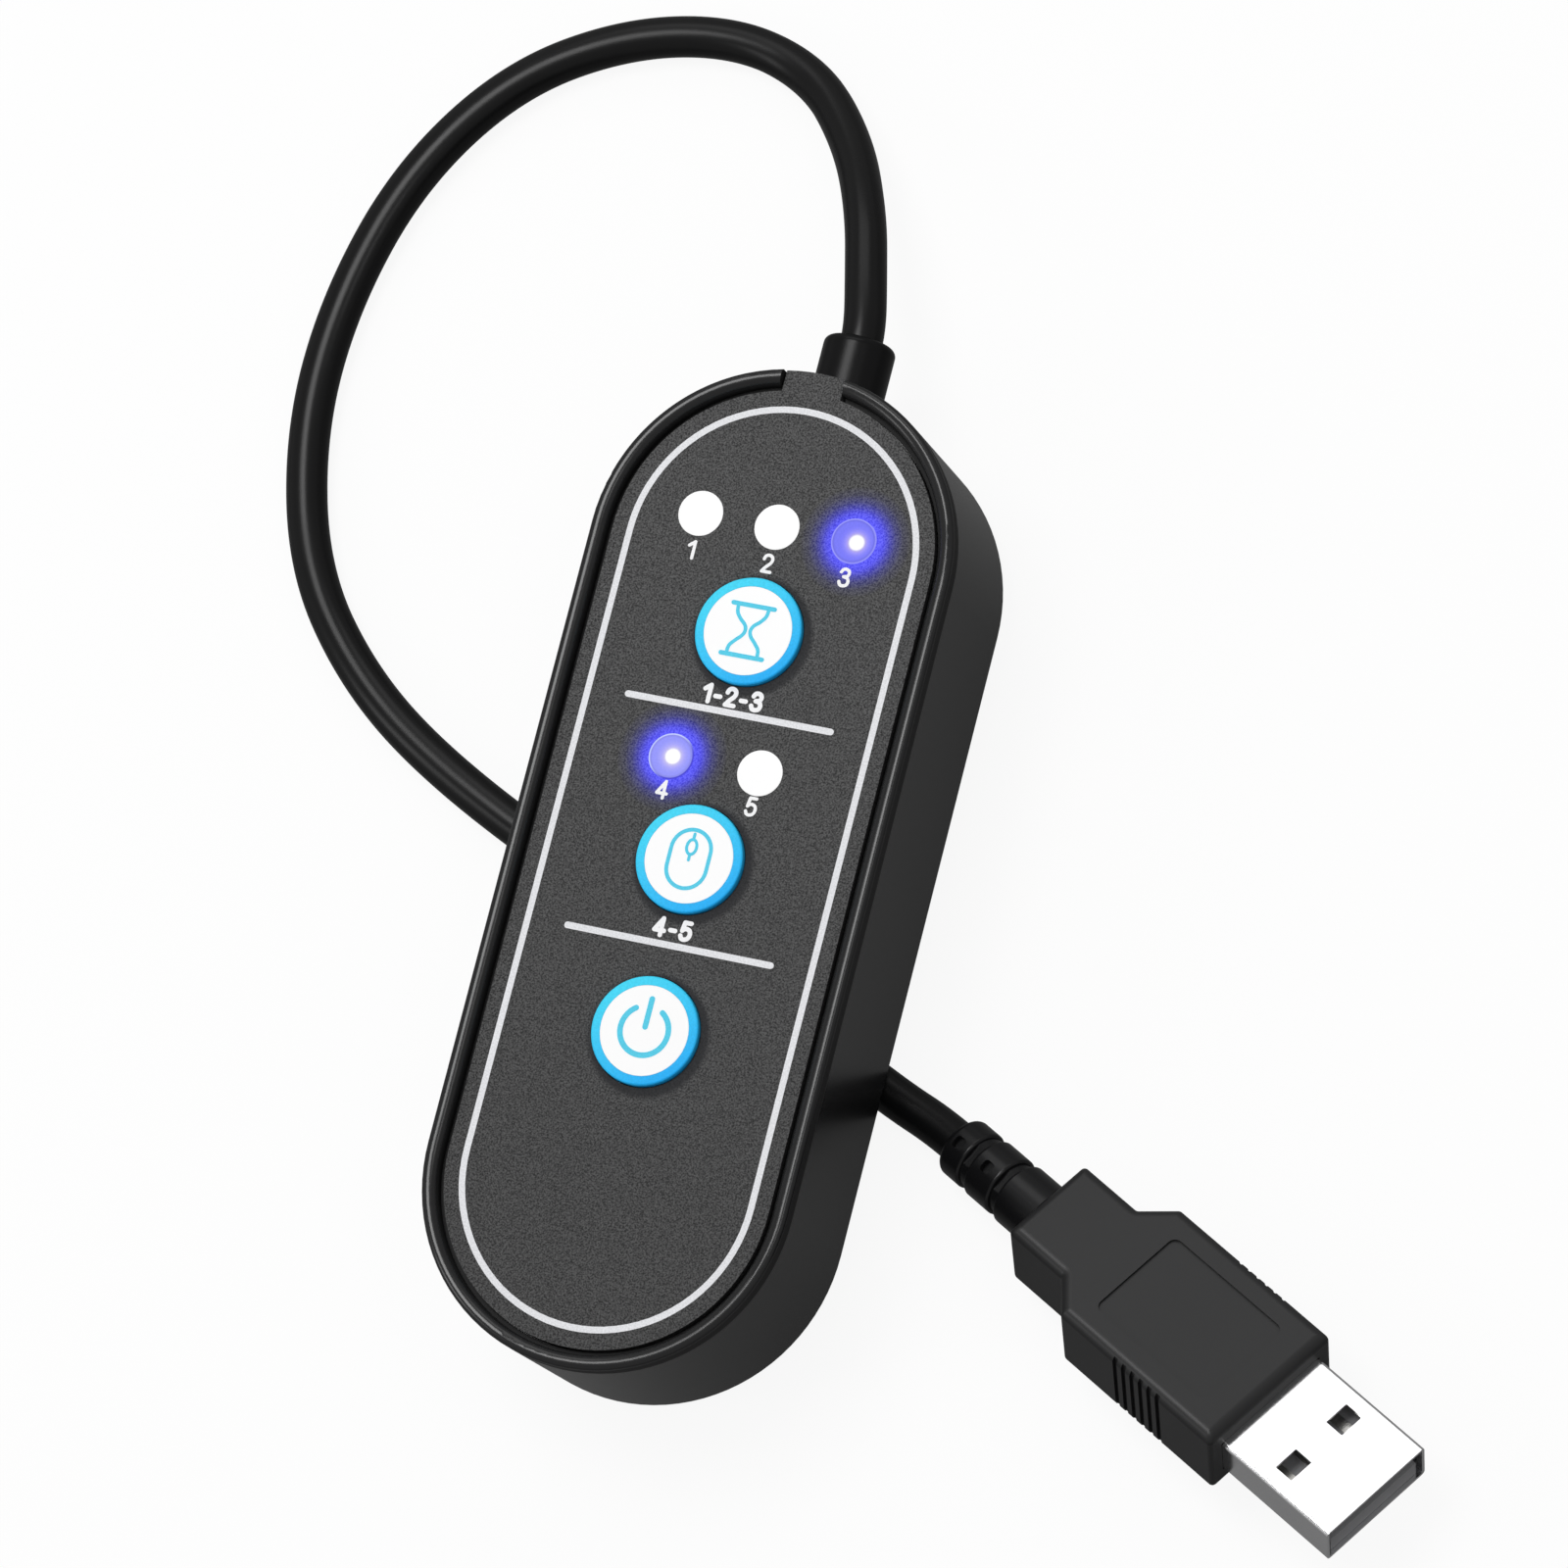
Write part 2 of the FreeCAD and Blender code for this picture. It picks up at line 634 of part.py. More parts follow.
def make_front_panel():
    body = new_body("front_panel")
    centres = "2 * Levels.end_centre"

    # the tongue that closes the cord slot, its outside flush with the tub's end wall
    tongue = new_sketch(body, "tongue_outline", up="Levels.tongue_level", along="Levels.wall_outside")
    draw_rectangle(tongue, "Sizes.tab_width", "2 * (Sizes.wall - Sizes.boot_gap)")
    pad(body, tongue, "Levels.panel_level - Levels.tongue_level", "tongue")
    outside = new_sketch(body, "wall_line", up="Levels.panel_level", along="Levels.end_centre")
    draw_circle(outside, "Levels.outer_radius")
    draw_circle(outside, "Levels.outer_radius + 2 * Sizes.wall")
    pocket(body, outside, "Levels.panel_level - Levels.tongue_level", "flush_end")

    plate = new_sketch(body, "plate_outline", up="Levels.panel_under")
    draw_stadium(plate, "Levels.panel_radius", centres)
    pad(body, plate, "Sizes.panel_thickness", "plate")

    skirt = new_sketch(body, "skirt_outline", up="Levels.panel_under")
    draw_stadium(skirt, "Levels.skirt_radius", centres)
    draw_stadium(skirt, "Levels.skirt_radius - Sizes.skirt_thickness", centres)
    pad(body, skirt, "Sizes.skirt_depth", "skirt", down=True)
    notch = new_sketch(
        body,
        "skirt_notch_outline",
        up="Levels.panel_under",
        along="Levels.wall_inside + Sizes.boot_gap - 1.5 * Sizes.skirt_thickness",
    )
    draw_rectangle(notch, "Sizes.boot_flange_diameter", "3 * Sizes.skirt_thickness")
    pocket(body, notch, "Sizes.skirt_depth", "skirt_notch")

    for side in (-1, 1):
        for row in (-1, 0, 1):
            lug = new_sketch(
                body,
                "snap_lug_outline",
                up="Levels.panel_under - Sizes.skirt_depth",
                across=f"{side} * Levels.skirt_radius",
                along=f"{row} * Sizes.snap_spacing",
            )
            draw_rectangle(lug, "2 * Sizes.snap_reach", "Sizes.snap_length")
            pad(body, lug, "Sizes.snap_height", "snap_lug")

    for button in BUTTONS:
        spot = {"up": "Levels.panel_level", "along": f"Sizes.{button}_button_place"}
        hole = new_sketch(body, f"{button}_button_hole_outline", **spot)
        draw_circle(hole, "Sizes.button_diameter / 2 + Sizes.button_gap")
        pocket(body, hole, "Sizes.panel_thickness", f"{button}_button_hole")

    for name, row, step in WINDOWS:
        spot = window_spot(row, step)
        hole = new_sketch(body, f"{name}_hole_outline", up="Levels.panel_level", **spot)
        draw_circle(hole, "Sizes.window_diameter / 2 + Sizes.window_gap")
        pocket(body, hole, "Sizes.panel_thickness", f"{name}_hole")
        seat = new_sketch(body, f"{name}_seat_outline", up="Levels.panel_under", **spot)
        draw_circle(seat, "Sizes.window_flange_diameter / 2 + Sizes.window_gap")
        pocket(body, seat, "Sizes.window_flange_thickness", f"{name}_seat", up=True)
    keep("front_panel", body)


def window_spot(row, step):
    return {
        "across": f"{step} * Sizes.{row}_window_spacing",
        "along": f"Sizes.{row}_window_place",
    }


make_front_panel()


# ---- indicator windows, each with a light guide down to its lamp ----


def make_window(name, row, step):
    body = new_body(name)
    spot = window_spot(row, step)
    face = new_sketch(body, "face_outline", up="Levels.panel_level", **spot)
    draw_circle(face, "Sizes.window_diameter / 2")
    pad(body, face, "Sizes.panel_thickness", "face", down=True)
    flange = new_sketch(body, "flange_outline", up="Levels.panel_under", **spot)
    draw_circle(flange, "Sizes.window_flange_diameter / 2")
    pad(body, flange, "Sizes.window_flange_thickness", "flange")
    guide = new_sketch(body, "guide_outline", up="Levels.lamp_level + Sizes.light_guide_gap", **spot)
    draw_circle(guide, "Sizes.light_guide_diameter / 2")
    pad(body, guide, "Levels.panel_under - Levels.lamp_level - Sizes.light_guide_gap", "guide")
    keep(name, body)


def make_lamp(name, row, step):
    """A surface-mounted lamp with a shallow well in its top."""
    spot = window_spot(row, step)
    body = new_body(name)
    block = new_sketch(body, "lamp_outline", up="Levels.board_level", **spot)
    draw_rectangle(block, "Sizes.lamp_width", "Sizes.lamp_depth")
    pad(body, block, "Sizes.lamp_height", "lamp")
    well = new_sketch(body, "well_outline", up="Levels.lamp_level", **spot)
    draw_circle(well, "Sizes.lamp_well_diameter / 2")
    pocket(body, well, "Sizes.lamp_well_depth", "well")
    keep(name, body)


for name, row, step in WINDOWS:
    make_window(name, row, step)
    make_lamp(name.replace("window", "lamp"), row, step)


# ---- push buttons and the switches under them ----


def make_button(button):
    along = f"Sizes.{button}_button_place"
    top = "Levels.panel_level + Sizes.button_proud"

    cap = new_body(f"{button}_button_cap")
    rim = new_sketch(cap, "rim_outline", up="Levels.cap_under", along=along)
    draw_circle(rim, "Sizes.button_diameter / 2")
    pad(cap, rim, f"{top} - Levels.cap_under", "rim")
    round_edges(
        cap,
        edges_at(cap.Shape, level["panel_level"] + size["button_proud"]),
        "Sizes.button_edge_round",
        "rim_round",
    )
    recess = new_sketch(cap, "disc_recess_outline", up=top, along=along)
    draw_circle(recess, "Sizes.disc_diameter / 2 + Sizes.disc_gap")
    pocket(cap, recess, "Sizes.disc_thickness", "disc_recess")
    flange = new_sketch(cap, "flange_outline", up="Levels.cap_under", along=along)
    draw_circle(flange, "Sizes.flange_diameter / 2")
    pad(cap, flange, "Sizes.flange_thickness", "flange")
    hollow = new_sketch(cap, "hollow_outline", up="Levels.cap_under", along=along)
    draw_circle(hollow, "Sizes.cap_hollow_diameter / 2")
    draw_circle(hollow, "Sizes.nub_diameter / 2")
    pocket(cap, hollow, "Sizes.cap_hollow_depth", "hollow", up=True)
    nub = new_sketch(cap, "nub_outline", up="Levels.nub_level", along=along)
    draw_circle(nub, "Sizes.nub_diameter / 2")
    pad(cap, nub, "Sizes.nub_length", "nub")
    keep(f"{button}_button_cap", cap)

    disc = new_body(f"{button}_button_disc")
    outline = new_sketch(disc, "disc_outline", up=f"{top} - Sizes.disc_thickness", along=along)
    draw_circle(outline, "Sizes.disc_diameter / 2")
    pad(disc, outline, "Sizes.disc_thickness", "disc")
    keep(f"{button}_button_disc", disc)

    plunger = new_body(f"{button}_switch_plunger")
    outline = new_sketch(
        plunger, "plunger_outline", up="Levels.switch_level - Sizes.plunger_depth", along=along
    )
    draw_circle(outline, "Sizes.plunger_diameter / 2")
    pad(plunger, outline, "Levels.nub_level - Levels.switch_level + Sizes.plunger_depth", "plunger")
    keep(f"{button}_switch_plunger", plunger)

    switch = new_body(f"{button}_switch")
    outline = new_sketch(switch, "switch_outline", up="Levels.board_level", along=along)
    draw_rectangle(outline, "Sizes.switch_width", "Sizes.switch_width")
    pad(switch, outline, "Sizes.switch_height", "switch_block")
    round_edges(
        switch,
        edges_at(switch.Shape, level["switch_level"]),
        "Sizes.switch_edge_round",
        "switch_round",
    )
    bore = new_sketch(switch, "bore_outline", up="Levels.switch_level", along=along)
    draw_circle(bore, "Sizes.plunger_diameter / 2 + Sizes.plunger_gap")
    pocket(
        switch, bore, "Sizes.plunger_depth + Sizes.button_travel + Sizes.plunger_spare", "bore"
    )
    keep(f"{button}_switch", switch)


def make_switch_legs():
    legs = []
    for button in BUTTONS:
        for side in (-1, 1):
            for row in (-1, 1):
                legs.append(
                    box(
                        "switch_leg",
                        "Sizes.switch_leg_reach",
                        "Sizes.switch_leg_width",
                        "Sizes.switch_leg_thickness",
                        x=f"{side} * (Sizes.switch_width + Sizes.switch_leg_reach) / 2",
                        y=f"Sizes.{button}_button_place + {row} * Sizes.switch_leg_spacing / 2",
                        z="Levels.board_level",
                    )
                )
    keep("switch_legs", group("switch_legs_group", legs))


for button in BUTTONS:
    make_button(button)
make_switch_legs()


# ---- circuit board ----


def make_board():
    body = new_body("circuit_board")
    outline = new_sketch(body, "board_outline", up="Levels.board_under")
    draw_stadium(outline, "Sizes.board_width / 2", "2 * Sizes.board_end_centre")
    pad(body, outline, "Sizes.board_thickness", "board")
    end = new_sketch(
        body,
        "board_end_outline",
        up="Levels.board_level",
        along="Sizes.board_cord_end + Sizes.board_width / 2",
    )
    draw_rectangle(end, "Sizes.board_width", "Sizes.board_width")
    pocket(body, end, "Sizes.board_thickness", "square_end")
    for side in (-1, 1):
        for row in SCREW_ROWS:
            spot = {"across": f"{side} * Sizes.boss_across / 2", "along": row}
            hole = new_sketch(body, "screw_hole_outline", up="Levels.board_level", **spot)
            draw_circle(hole, "Sizes.screw_diameter / 2 + Sizes.screw_hole_gap")
            pocket(body, hole, "Sizes.board_thickness", "screw_hole")
    keep("circuit_board", body)


def make_screws():
    screws = []
    for side in (-1, 1):
        for row in SCREW_ROWS:
            x = f"{side} * Sizes.boss_across / 2"
            shank = cylinder(
                "shank", "Sizes.screw_diameter / 2", "Sizes.screw_length",
                x, row, "Levels.board_level - Sizes.screw_length",
            )
            head = cylinder(
                "head", "Sizes.screw_head_diameter / 2", "Sizes.screw_head_height",
                x, row, "Levels.board_level",
            )
            solid = fuse("screw_blank", [shank, head])
            recess_level = "Levels.board_level + Sizes.screw_head_height / 2"
            long_slot = box(
                "cross_slot", "Sizes.screw_recess_width", "Sizes.screw_recess_width / 5",
                "Sizes.screw_head_height", x, row, recess_level,
            )
            short_slot = box(
                "cross_slot", "Sizes.screw_recess_width / 5", "Sizes.screw_recess_width",
                "Sizes.screw_head_height", x, row, recess_level,
            )
            screws.append(cut("screw", solid, fuse("cross_recess", [long_slot, short_slot])))
    keep("board_screws", group("board_screws_group", screws))


def make_chip():
    bottom = "Levels.board_level + Sizes.chip_standoff"
    package = box(
        "chip_package", "Sizes.chip_length", "Sizes.chip_width",
        "Sizes.chip_height - Sizes.chip_standoff", "0", "Sizes.chip_place", bottom,
    )
    dot = cylinder(
        "chip_dot", "Sizes.chip_width / 10", "Sizes.chip_height",
        "-Sizes.chip_length / 2 + Sizes.chip_width / 4", "Sizes.chip_place - Sizes.chip_width / 4",
        "Levels.board_level + Sizes.chip_height - Sizes.chip_standoff",
    )
    keep("controller_chip", cut("controller_chip_solid", package, dot))
    legs = []
    for side in (-1, 1):
        for step in range(7):
            x = f"{step - 3} * Sizes.chip_leg_pitch"
            edge = f"Sizes.chip_place + {side} * Sizes.chip_width / 2"
            reach = "Sizes.chip_leg_reach"
            thickness = "Sizes.chip_leg_thickness"
            shoulder = box(
                "leg_shoulder", "Sizes.chip_leg_width", f"{reach} / 2", thickness,
                x, f"{edge} + {side} * {reach} / 4",
                f"{bottom} + (Sizes.chip_height - Sizes.chip_standoff) / 2",
            )
            drop = box(
                "leg_drop", "Sizes.chip_leg_width", thickness,
                f"{thickness} + Sizes.chip_standoff + (Sizes.chip_height - Sizes.chip_standoff) / 2",
                x, f"{edge} + {side} * ({reach} / 2 - {thickness} / 2)", "Levels.board_level",
            )
            foot = box(
                "leg_foot", "Sizes.chip_leg_width", f"{reach} / 2 + {thickness}", thickness,
                x, f"{edge} + {side} * ({reach} * 3 / 4 - {thickness} / 2)", "Levels.board_level",
            )
            legs.append(fuse("chip_leg", [shoulder, drop, foot]))
    keep("chip_legs", group("chip_legs_group", legs))


def make_small_parts():
    can = new_body("crystal_can")
    spot = {"up": "Levels.board_level", "along": "Sizes.crystal_place"}
    outline = new_sketch(can, "can_outline", **spot)
    draw_rectangle(outline, "Sizes.crystal_length", "Sizes.crystal_width")
    pad(can, outline, "Sizes.crystal_height", "can")
    standing = [
        f"Edge{i}"
        for i, edge in enumerate(can.Shape.Edges, start=1)
        if edge.BoundBox.ZLength > size["crystal_height"] / 2
    ]
    round_edges(can, standing, "Sizes.crystal_end_round", "can_ends")
    keep("crystal_can", can)

    cans = []
    for side in (-1, 1):
        x = f"{side} * Sizes.capacitor_across"
        y = "Sizes.capacitor_place"
        cans.append(
            cylinder(
                "capacitor", "Sizes.capacitor_diameter / 2", "Sizes.capacitor_height",
                x, y, "Levels.board_level",
            )
        )
    keep("filter_capacitors", group("filter_capacitors_group", cans))

    chips = []
    for across_board, along_board in RESISTOR_PLACES:
        chips.append(
            box(
                "resistor", "Sizes.resistor_length", "Sizes.resistor_width",
                "Sizes.resistor_height", str(across_board), str(along_board),
                "Levels.board_level",
            )
        )
    keep("resistors", group("resistors_group", chips))


make_board()
make_screws()
make_chip()
make_small_parts()


# ---- cord, its boot and its wires ----


def make_boot():
    bore_radius = "Sizes.cord_diameter / 2 + Sizes.boot_bore_gap"
    collar = lying_cylinder(
        "boot_collar", "Sizes.boot_diameter / 2", "Sizes.boot_length + Sizes.wall / 2",
        "0", "Levels.wall_middle", "Levels.cord_level",
    )
    wall_outside = cylinder(
        "wall_outside", "Levels.outer_radius + Sizes.boot_gap", "Sizes.housing_height",
        "0", "Levels.end_centre", "Levels.back_level",
    )
    collar = cut("boot_collar_on_wall", collar, wall_outside)
    end = level["boot_end"]
    collar = round_part(
        "boot_collar_round", collar, size["boot_round"], lambda e: abs(e.BoundBox.YMin - end) < 1e-3
    )

    flange = lying_cylinder(
        "boot_flange", "Sizes.boot_flange_diameter / 2", "Sizes.boot_flange_diameter",
        "0", "Levels.wall_inside - Sizes.boot_flange_sag - Sizes.boot_flange_thickness",
        "Levels.cord_level",
    )
    wall_inside = cylinder(
        "wall_inside", "Levels.inner_radius - Sizes.boot_gap", "Sizes.housing_height",
        "0", "Levels.end_centre", "Levels.back_level",
    )
    inner = doc.addObject("Part::Common", "boot_flange_on_wall")
    inner.Base = flange
    inner.Tool = wall_inside

    # the neck fills the slot in the wall: round below, square above
    neck_start = "(Levels.wall_inside - Sizes.boot_flange_sag - Sizes.boot_flange_thickness / 2)"
    neck = new_body("boot_neck")
    spot = {"up": f"-{neck_start}", "plane": "XZ_Plane"}
    outline = new_sketch(neck, "neck_outline", along="Levels.cord_level + Levels.neck_half", **spot)
    draw_stadium(outline, "Levels.neck_half", "2 * Levels.neck_half")
    pad(neck, outline, f"Levels.wall_outside + Sizes.wall - {neck_start}", "neck", down=True)
    top = new_sketch(neck, "neck_top_outline", along="Levels.cord_level + 2 * Levels.neck_half", **spot)
    draw_rectangle(top, "3 * Levels.neck_half", "2 * Levels.neck_half")
    pocket(neck, top, "2 * Sizes.wall + Sizes.boot_flange_diameter", "neck_top")
    wall_line = cylinder(
        "wall_line", "Levels.outer_radius", "Sizes.housing_height",
        "0", "Levels.end_centre", "Levels.back_level",
    )
    flush_neck = doc.addObject("Part::Common", "boot_neck_in_wall")
    flush_neck.Base = neck
    flush_neck.Tool = wall_line
    core = lying_cylinder(
        "boot_core", "Levels.neck_half * 0.9", f"Levels.wall_outside + Sizes.wall - {neck_start}",
        "0", neck_start, "Levels.cord_level",
    )

    solid = fuse("boot_solid", [collar, inner, flush_neck, core], refine=False)
    bore = lying_cylinder(
        "boot_bore", bore_radius, "Sizes.boot_length + Sizes.housing_width / 2",
        "0", "Levels.end_centre + Levels.inner_radius / 2", "Levels.cord_level",
    )
    keep("cord_boot", cut("cord_boot_solid", solid, bore))


def bend(points, share=ARC_SHARE):
    """Straight runs through the points with an arc at each bend: (wire, bend radii)."""
    radii = []
    edges = []
    start = points[0]
    for before, here, after in zip(points, points[1:], points[2:]):
        back = before - here
        ahead = after - here
        turn = math.pi - back.getAngle(ahead)
        reach = share * min(back.Length, ahead.Length)
        radius = reach / math.tan(turn / 2)
        back.normalize()
        ahead.normalize()
        first = here + back * reach
        last = here + ahead * reach
        towards_centre = back + ahead
        towards_centre.normalize()
        centre = here + towards_centre * (radius / math.cos(turn / 2))
        from_centre = here - centre
        from_centre.normalize()
        edges.append(Part.LineSegment(start, first).toShape())
        edges.append(Part.Arc(first, centre + from_centre * radius, last).toShape())
        start = last
        radii.append(radius)
    edges.append(Part.LineSegment(start, points[-1]).toShape())
    return Part.Wire(edges), radii


def make_tube(node, points, diameter):
    """A round cord swept along straight runs and arcs."""
    wire, radii = bend(points)
    route = doc.addObject("Part::Feature", f"{node}_route")
    route.Shape = wire
    section = doc.addObject("Part::Circle", f"{node}_section")
    section.setExpression("Radius", f"{diameter} / 2")
    section.Placement = Placement(
        points[0], Rotation(Vector(0, 0, 1), points[1] - points[0])
    )
    tube = doc.addObject("Part::Sweep", f"{node}_tube")
    tube.Sections = [section]
    tube.Spine = (route, [f"Edge{i}" for i in range(1, len(wire.Edges) + 1)])
    tube.Solid = True
    tube.Frenet = True
    doc.recompute()
    area = math.pi * float(section.Radius) ** 2
    ratio = tube.Shape.Volume / (area * wire.Length)
    print(f"{node}: length {wire.Length:.1f}, smallest bend {min(radii):.2f}, volume {ratio:.4f}")
    print("  bends", " ".join(f"{radius:.1f}" for radius in radii))
    if abs(ratio - 1) > 0.01:
        raise ValueError(f"{node}: volume does not match its length")
    keep(node, tube)


PLUG_POSE = Placement(
    Vector(size["plug_x"], size["plug_y"], level["plug_level"]),
    Rotation(size["plug_turn"], -size["plug_lift"], -size["plug_roll"]),
)
RELIEF_POSE = PLUG_POSE.multiply(
    Placement(
        Vector(-level["plug_length"], 0, 0),
        Rotation(size["relief_turn"], -size["relief_drop"], size["relief_roll"]),
    )
)
RELIEF_LENGTH = (
    size["relief_front_collar"]
    + size["relief_middle_collar"]
    + size["relief_rear_collar"]
    + 2 * size["relief_gap_width"]
)


def cord_points():
    """The cord's route from the end of the boot to the start of the strain relief."""
    floor = level["floor_level"]
    on_floor = size["cord_diameter"] / 2
    boot = Vector(0, level["boot_end"], level["cord_level"])
    points = [boot, boot + Vector(0, CORD_LEAVES_BOOT, 0)]
    for x, y, height in CORD_ROUTE:
        points.append(Vector(x, y, floor + (on_floor if height is None else height)))
    points.append(RELIEF_POSE.multVec(Vector(-RELIEF_LENGTH - CORD_MEETS_PLUG, 0, 0)))
    points.append(RELIEF_POSE.multVec(Vector(-RELIEF_LENGTH, 0, 0)))
    print("cord route", [tuple(round(v, 3) for v in point) for point in points])
    return points


def make_wires():
    """Four wires from the stripped end of the cord to their pads on the board."""
    middle = level["cord_level"]
    tail = size["cord_inner_end"]
    spread = size["wire_spread"]
    on_board = level["board_level"] + size["wire_diameter"] / 2 + size["wire_lift"]
    colours = [("red", -3, -1), ("white", -1, 1), ("green", 1, 1), ("black", 3, -1)]
    for colour, step, row in colours:
        side = math.copysign(spread, step)
        pad_x = step * size["wire_pad_pitch"] / 2
        points = [
            Vector(side, tail, middle + row * spread),
            Vector(side, tail - size["wire_straight"], middle + row * spread),
            Vector(pad_x, size["board_cord_end"] + size["wire_over_edge"], on_board),
            Vector(pad_x, size["wire_pad_place"] - size["wire_past_pad"], on_board),
        ]
        make_tube(f"{colour}_wire", points, "Sizes.wire_diameter")


make_boot()
keep(
    "cord_tail",
    lying_cylinder(
        "cord_tail_rod", "Sizes.cord_diameter / 2", "Levels.boot_end - Sizes.cord_inner_end",
        "0", "Sizes.cord_inner_end", "Levels.cord_level",
    ),
)
make_wires()
make_tube("cord", cord_points(), "Sizes.cord_diameter")


# ---- plug: its own X points at the tip, and its origin is on the overmould's front face ----


def pose(thing):
    turn = "create(<<rotation>>; Sizes.plug_turn; -Sizes.plug_lift; -Sizes.plug_roll)"
    spot = "create(<<vector>>; Sizes.plug_x; Sizes.plug_y; Levels.plug_level)"
    thing.setExpression("Placement", f"create(<<placement>>; {spot}; {turn})")


def make_overmould():
    body = new_body("overmould_block")
    outline = new_sketch(body, "overmould_outline", up="-Sizes.plug_thickness / 2")
    wide, narrow = "Sizes.grip_width / 2", "Sizes.neck_width / 2"
    grip_back = "Sizes.grip_length"
    neck_front = "(Sizes.grip_length + Sizes.shoulder_length)"
    draw_profile(
        outline,
        [
            ("0", f"-{wide}"),
            ("0", f"+{wide}"),
            (f"-{grip_back}", f"+{wide}"),
            (f"-{neck_front}", f"+{narrow}"),
            ("-Levels.plug_length", f"+{narrow}"),
            ("-Levels.plug_length", f"-{narrow}"),
            (f"-{neck_front}", f"-{narrow}"),
            (f"-{grip_back}", f"-{wide}"),
        ],
    )
    pad(body, outline, "Sizes.plug_thickness", "overmould_solid")
    half = size["plug_thickness"] / 2
    standing = [
        f"Edge{i}"
        for i, edge in enumerate(body.Shape.Edges, start=1)
        if edge.BoundBox.ZLength > half
    ]
    round_edges(body, standing, "Sizes.plug_corner_round", "corner_rounds")
    flat = edges_at(body.Shape, half) + edges_at(body.Shape, -half)
    round_edges(body, flat, "Sizes.plug_edge_round", "edge_rounds")

    for side, which in ((-1, "near"), (1, "far")):
        groove = new_sketch(
            body, "rib_groove_outline", up="Sizes.plug_thickness / 2",
            across=f"-Sizes.rib_first_{which}", along=f"{side} * Sizes.grip_width / 2",
        )
        draw_rectangle(groove, "Sizes.rib_groove_width", "2 * Sizes.rib_groove_depth")
        first = pocket(body, groove, "Sizes.plug_thickness", "rib_groove")
        row = body.newObject("PartDesign::LinearPattern", "rib_grooves")
        row.Originals = [first]
        row.Direction = (groove, ["H_Axis"])
        row.Reversed = True
        row.Occurrences = 6
        row.setExpression("Length", "5 * Sizes.rib_pitch")
        body.Tip = row
        doc.recompute()

    for face in (-1, 1):
        recess = new_sketch(
            body, "badge_recess_outline", up=f"{face} * Sizes.plug_thickness / 2",
            across="-Sizes.badge_recess_place",
        )
        draw_rectangle(recess, "Sizes.badge_recess_length", "Sizes.badge_recess_width")
        pocket(body, recess, "Sizes.badge_recess_depth", "badge_recess", up=face < 0)
        level_of_face = face * size["plug_thickness"] / 2
        corners = [
            f"Edge{i}"
            for i, edge in enumerate(body.Shape.Edges, start=1)
            if abs(edge.BoundBox.ZLength - size["badge_recess_depth"]) < 1e-3
            and edge.BoundBox.XLength + edge.BoundBox.YLength < 1e-3
            and min(abs(v.Z - level_of_face) for v in edge.Vertexes) < 1e-3
        ]
        round_edges(body, corners, "Sizes.badge_recess_round", "badge_recess_corners")

    cavity = new_sketch(body, "shell_cavity_outline", plane="YZ_Plane")
    draw_rectangle(
        cavity, "Sizes.shell_width + 2 * Sizes.shell_gap", "Sizes.shell_height + 2 * Sizes.shell_gap"
    )
    pocket(body, cavity, "Sizes.shell_embedded", "shell_cavity")
    return body


def make_relief():
    """The strain relief along its own -X: three rounded collars on a flattened core."""
    collars = []
    slots = []
    start = "0"
    for name in ("front", "middle", "rear"):
        length = f"Sizes.relief_{name}_collar"
        radius = f"Sizes.relief_{name}_diameter / 2"
        collar = cylinder(f"{name}_collar", radius, length)
        collar.Placement.Rotation = Rotation(Vector(0, 1, 0), -90)
        place(collar, x=f"-({start})")
        doc.recompute()
        rear_end = collar.Shape.BoundBox.XMin
        rounding = "relief_end_round" if name == "rear" else "relief_collar_round"
        rounded = round_part(
            f"{name}_collar_round", collar, size[rounding],
            lambda e: abs(e.BoundBox.XMax - rear_end) < 1e-3,
        )
        if name != "front":
            doc.recompute()
            front_end = rounded.Shape.BoundBox.XMax
            rounded = round_part(
                f"{name}_collar_front_round", rounded, size["relief_collar_round"],
                lambda e: abs(e.BoundBox.XMin - front_end) < 1e-3,
            )
            slot = box(
                f"{name}_slot", "Sizes.relief_slot_length", "Sizes.relief_slot_width",
                "Sizes.relief_slot_depth + 1", f"-({start} + {length} / 2)", "0",
                f"{radius} - Sizes.relief_slot_depth",
            )
            slots.append(
                round_part(
                    f"{name}_slot_round", slot, size["relief_slot_round"],
                    lambda e: e.BoundBox.ZLength > size["relief_slot_depth"],
                )
            )
        collars.append(rounded)
        start = f"{start} + {length} + Sizes.relief_gap_width"
    core_length = f"({start} - Sizes.relief_gap_width - 1)"
    core = cylinder("relief_core_rod", "Sizes.relief_core_diameter / 2", core_length)
    core.Placement.Rotation = Rotation(Vector(0, 1, 0), -90)
    slab = box(
        "relief_core_slab", core_length, "2 * Sizes.relief_core_diameter",
        "Sizes.relief_core_thickness", f"-{core_length} / 2", "0", "-Sizes.relief_core_thickness / 2",
    )
    flat_core = doc.addObject("Part::Common", "relief_core")
    flat_core.Base = core
    flat_core.Tool = slab
    root = cylinder(
        "relief_root", "Sizes.relief_front_diameter / 2 - Sizes.relief_root_step",
        "Sizes.relief_front_collar / 2",
    )
    root.Placement.Rotation = Rotation(Vector(0, 1, 0), 90)
    ribs = fuse("relief_ribs", collars + [flat_core, root])
    relief = cut("relief", ribs, fuse("relief_slots", slots))
    turn = (
        "create(<<rotation>>; Sizes.relief_turn; -Sizes.relief_drop; Sizes.relief_roll)"
    )
    spot = "create(<<vector>>; -Levels.plug_length; 0; 0)"
    relief.setExpression("Placement", f"create(<<placement>>; {spot}; {turn})")
    return relief


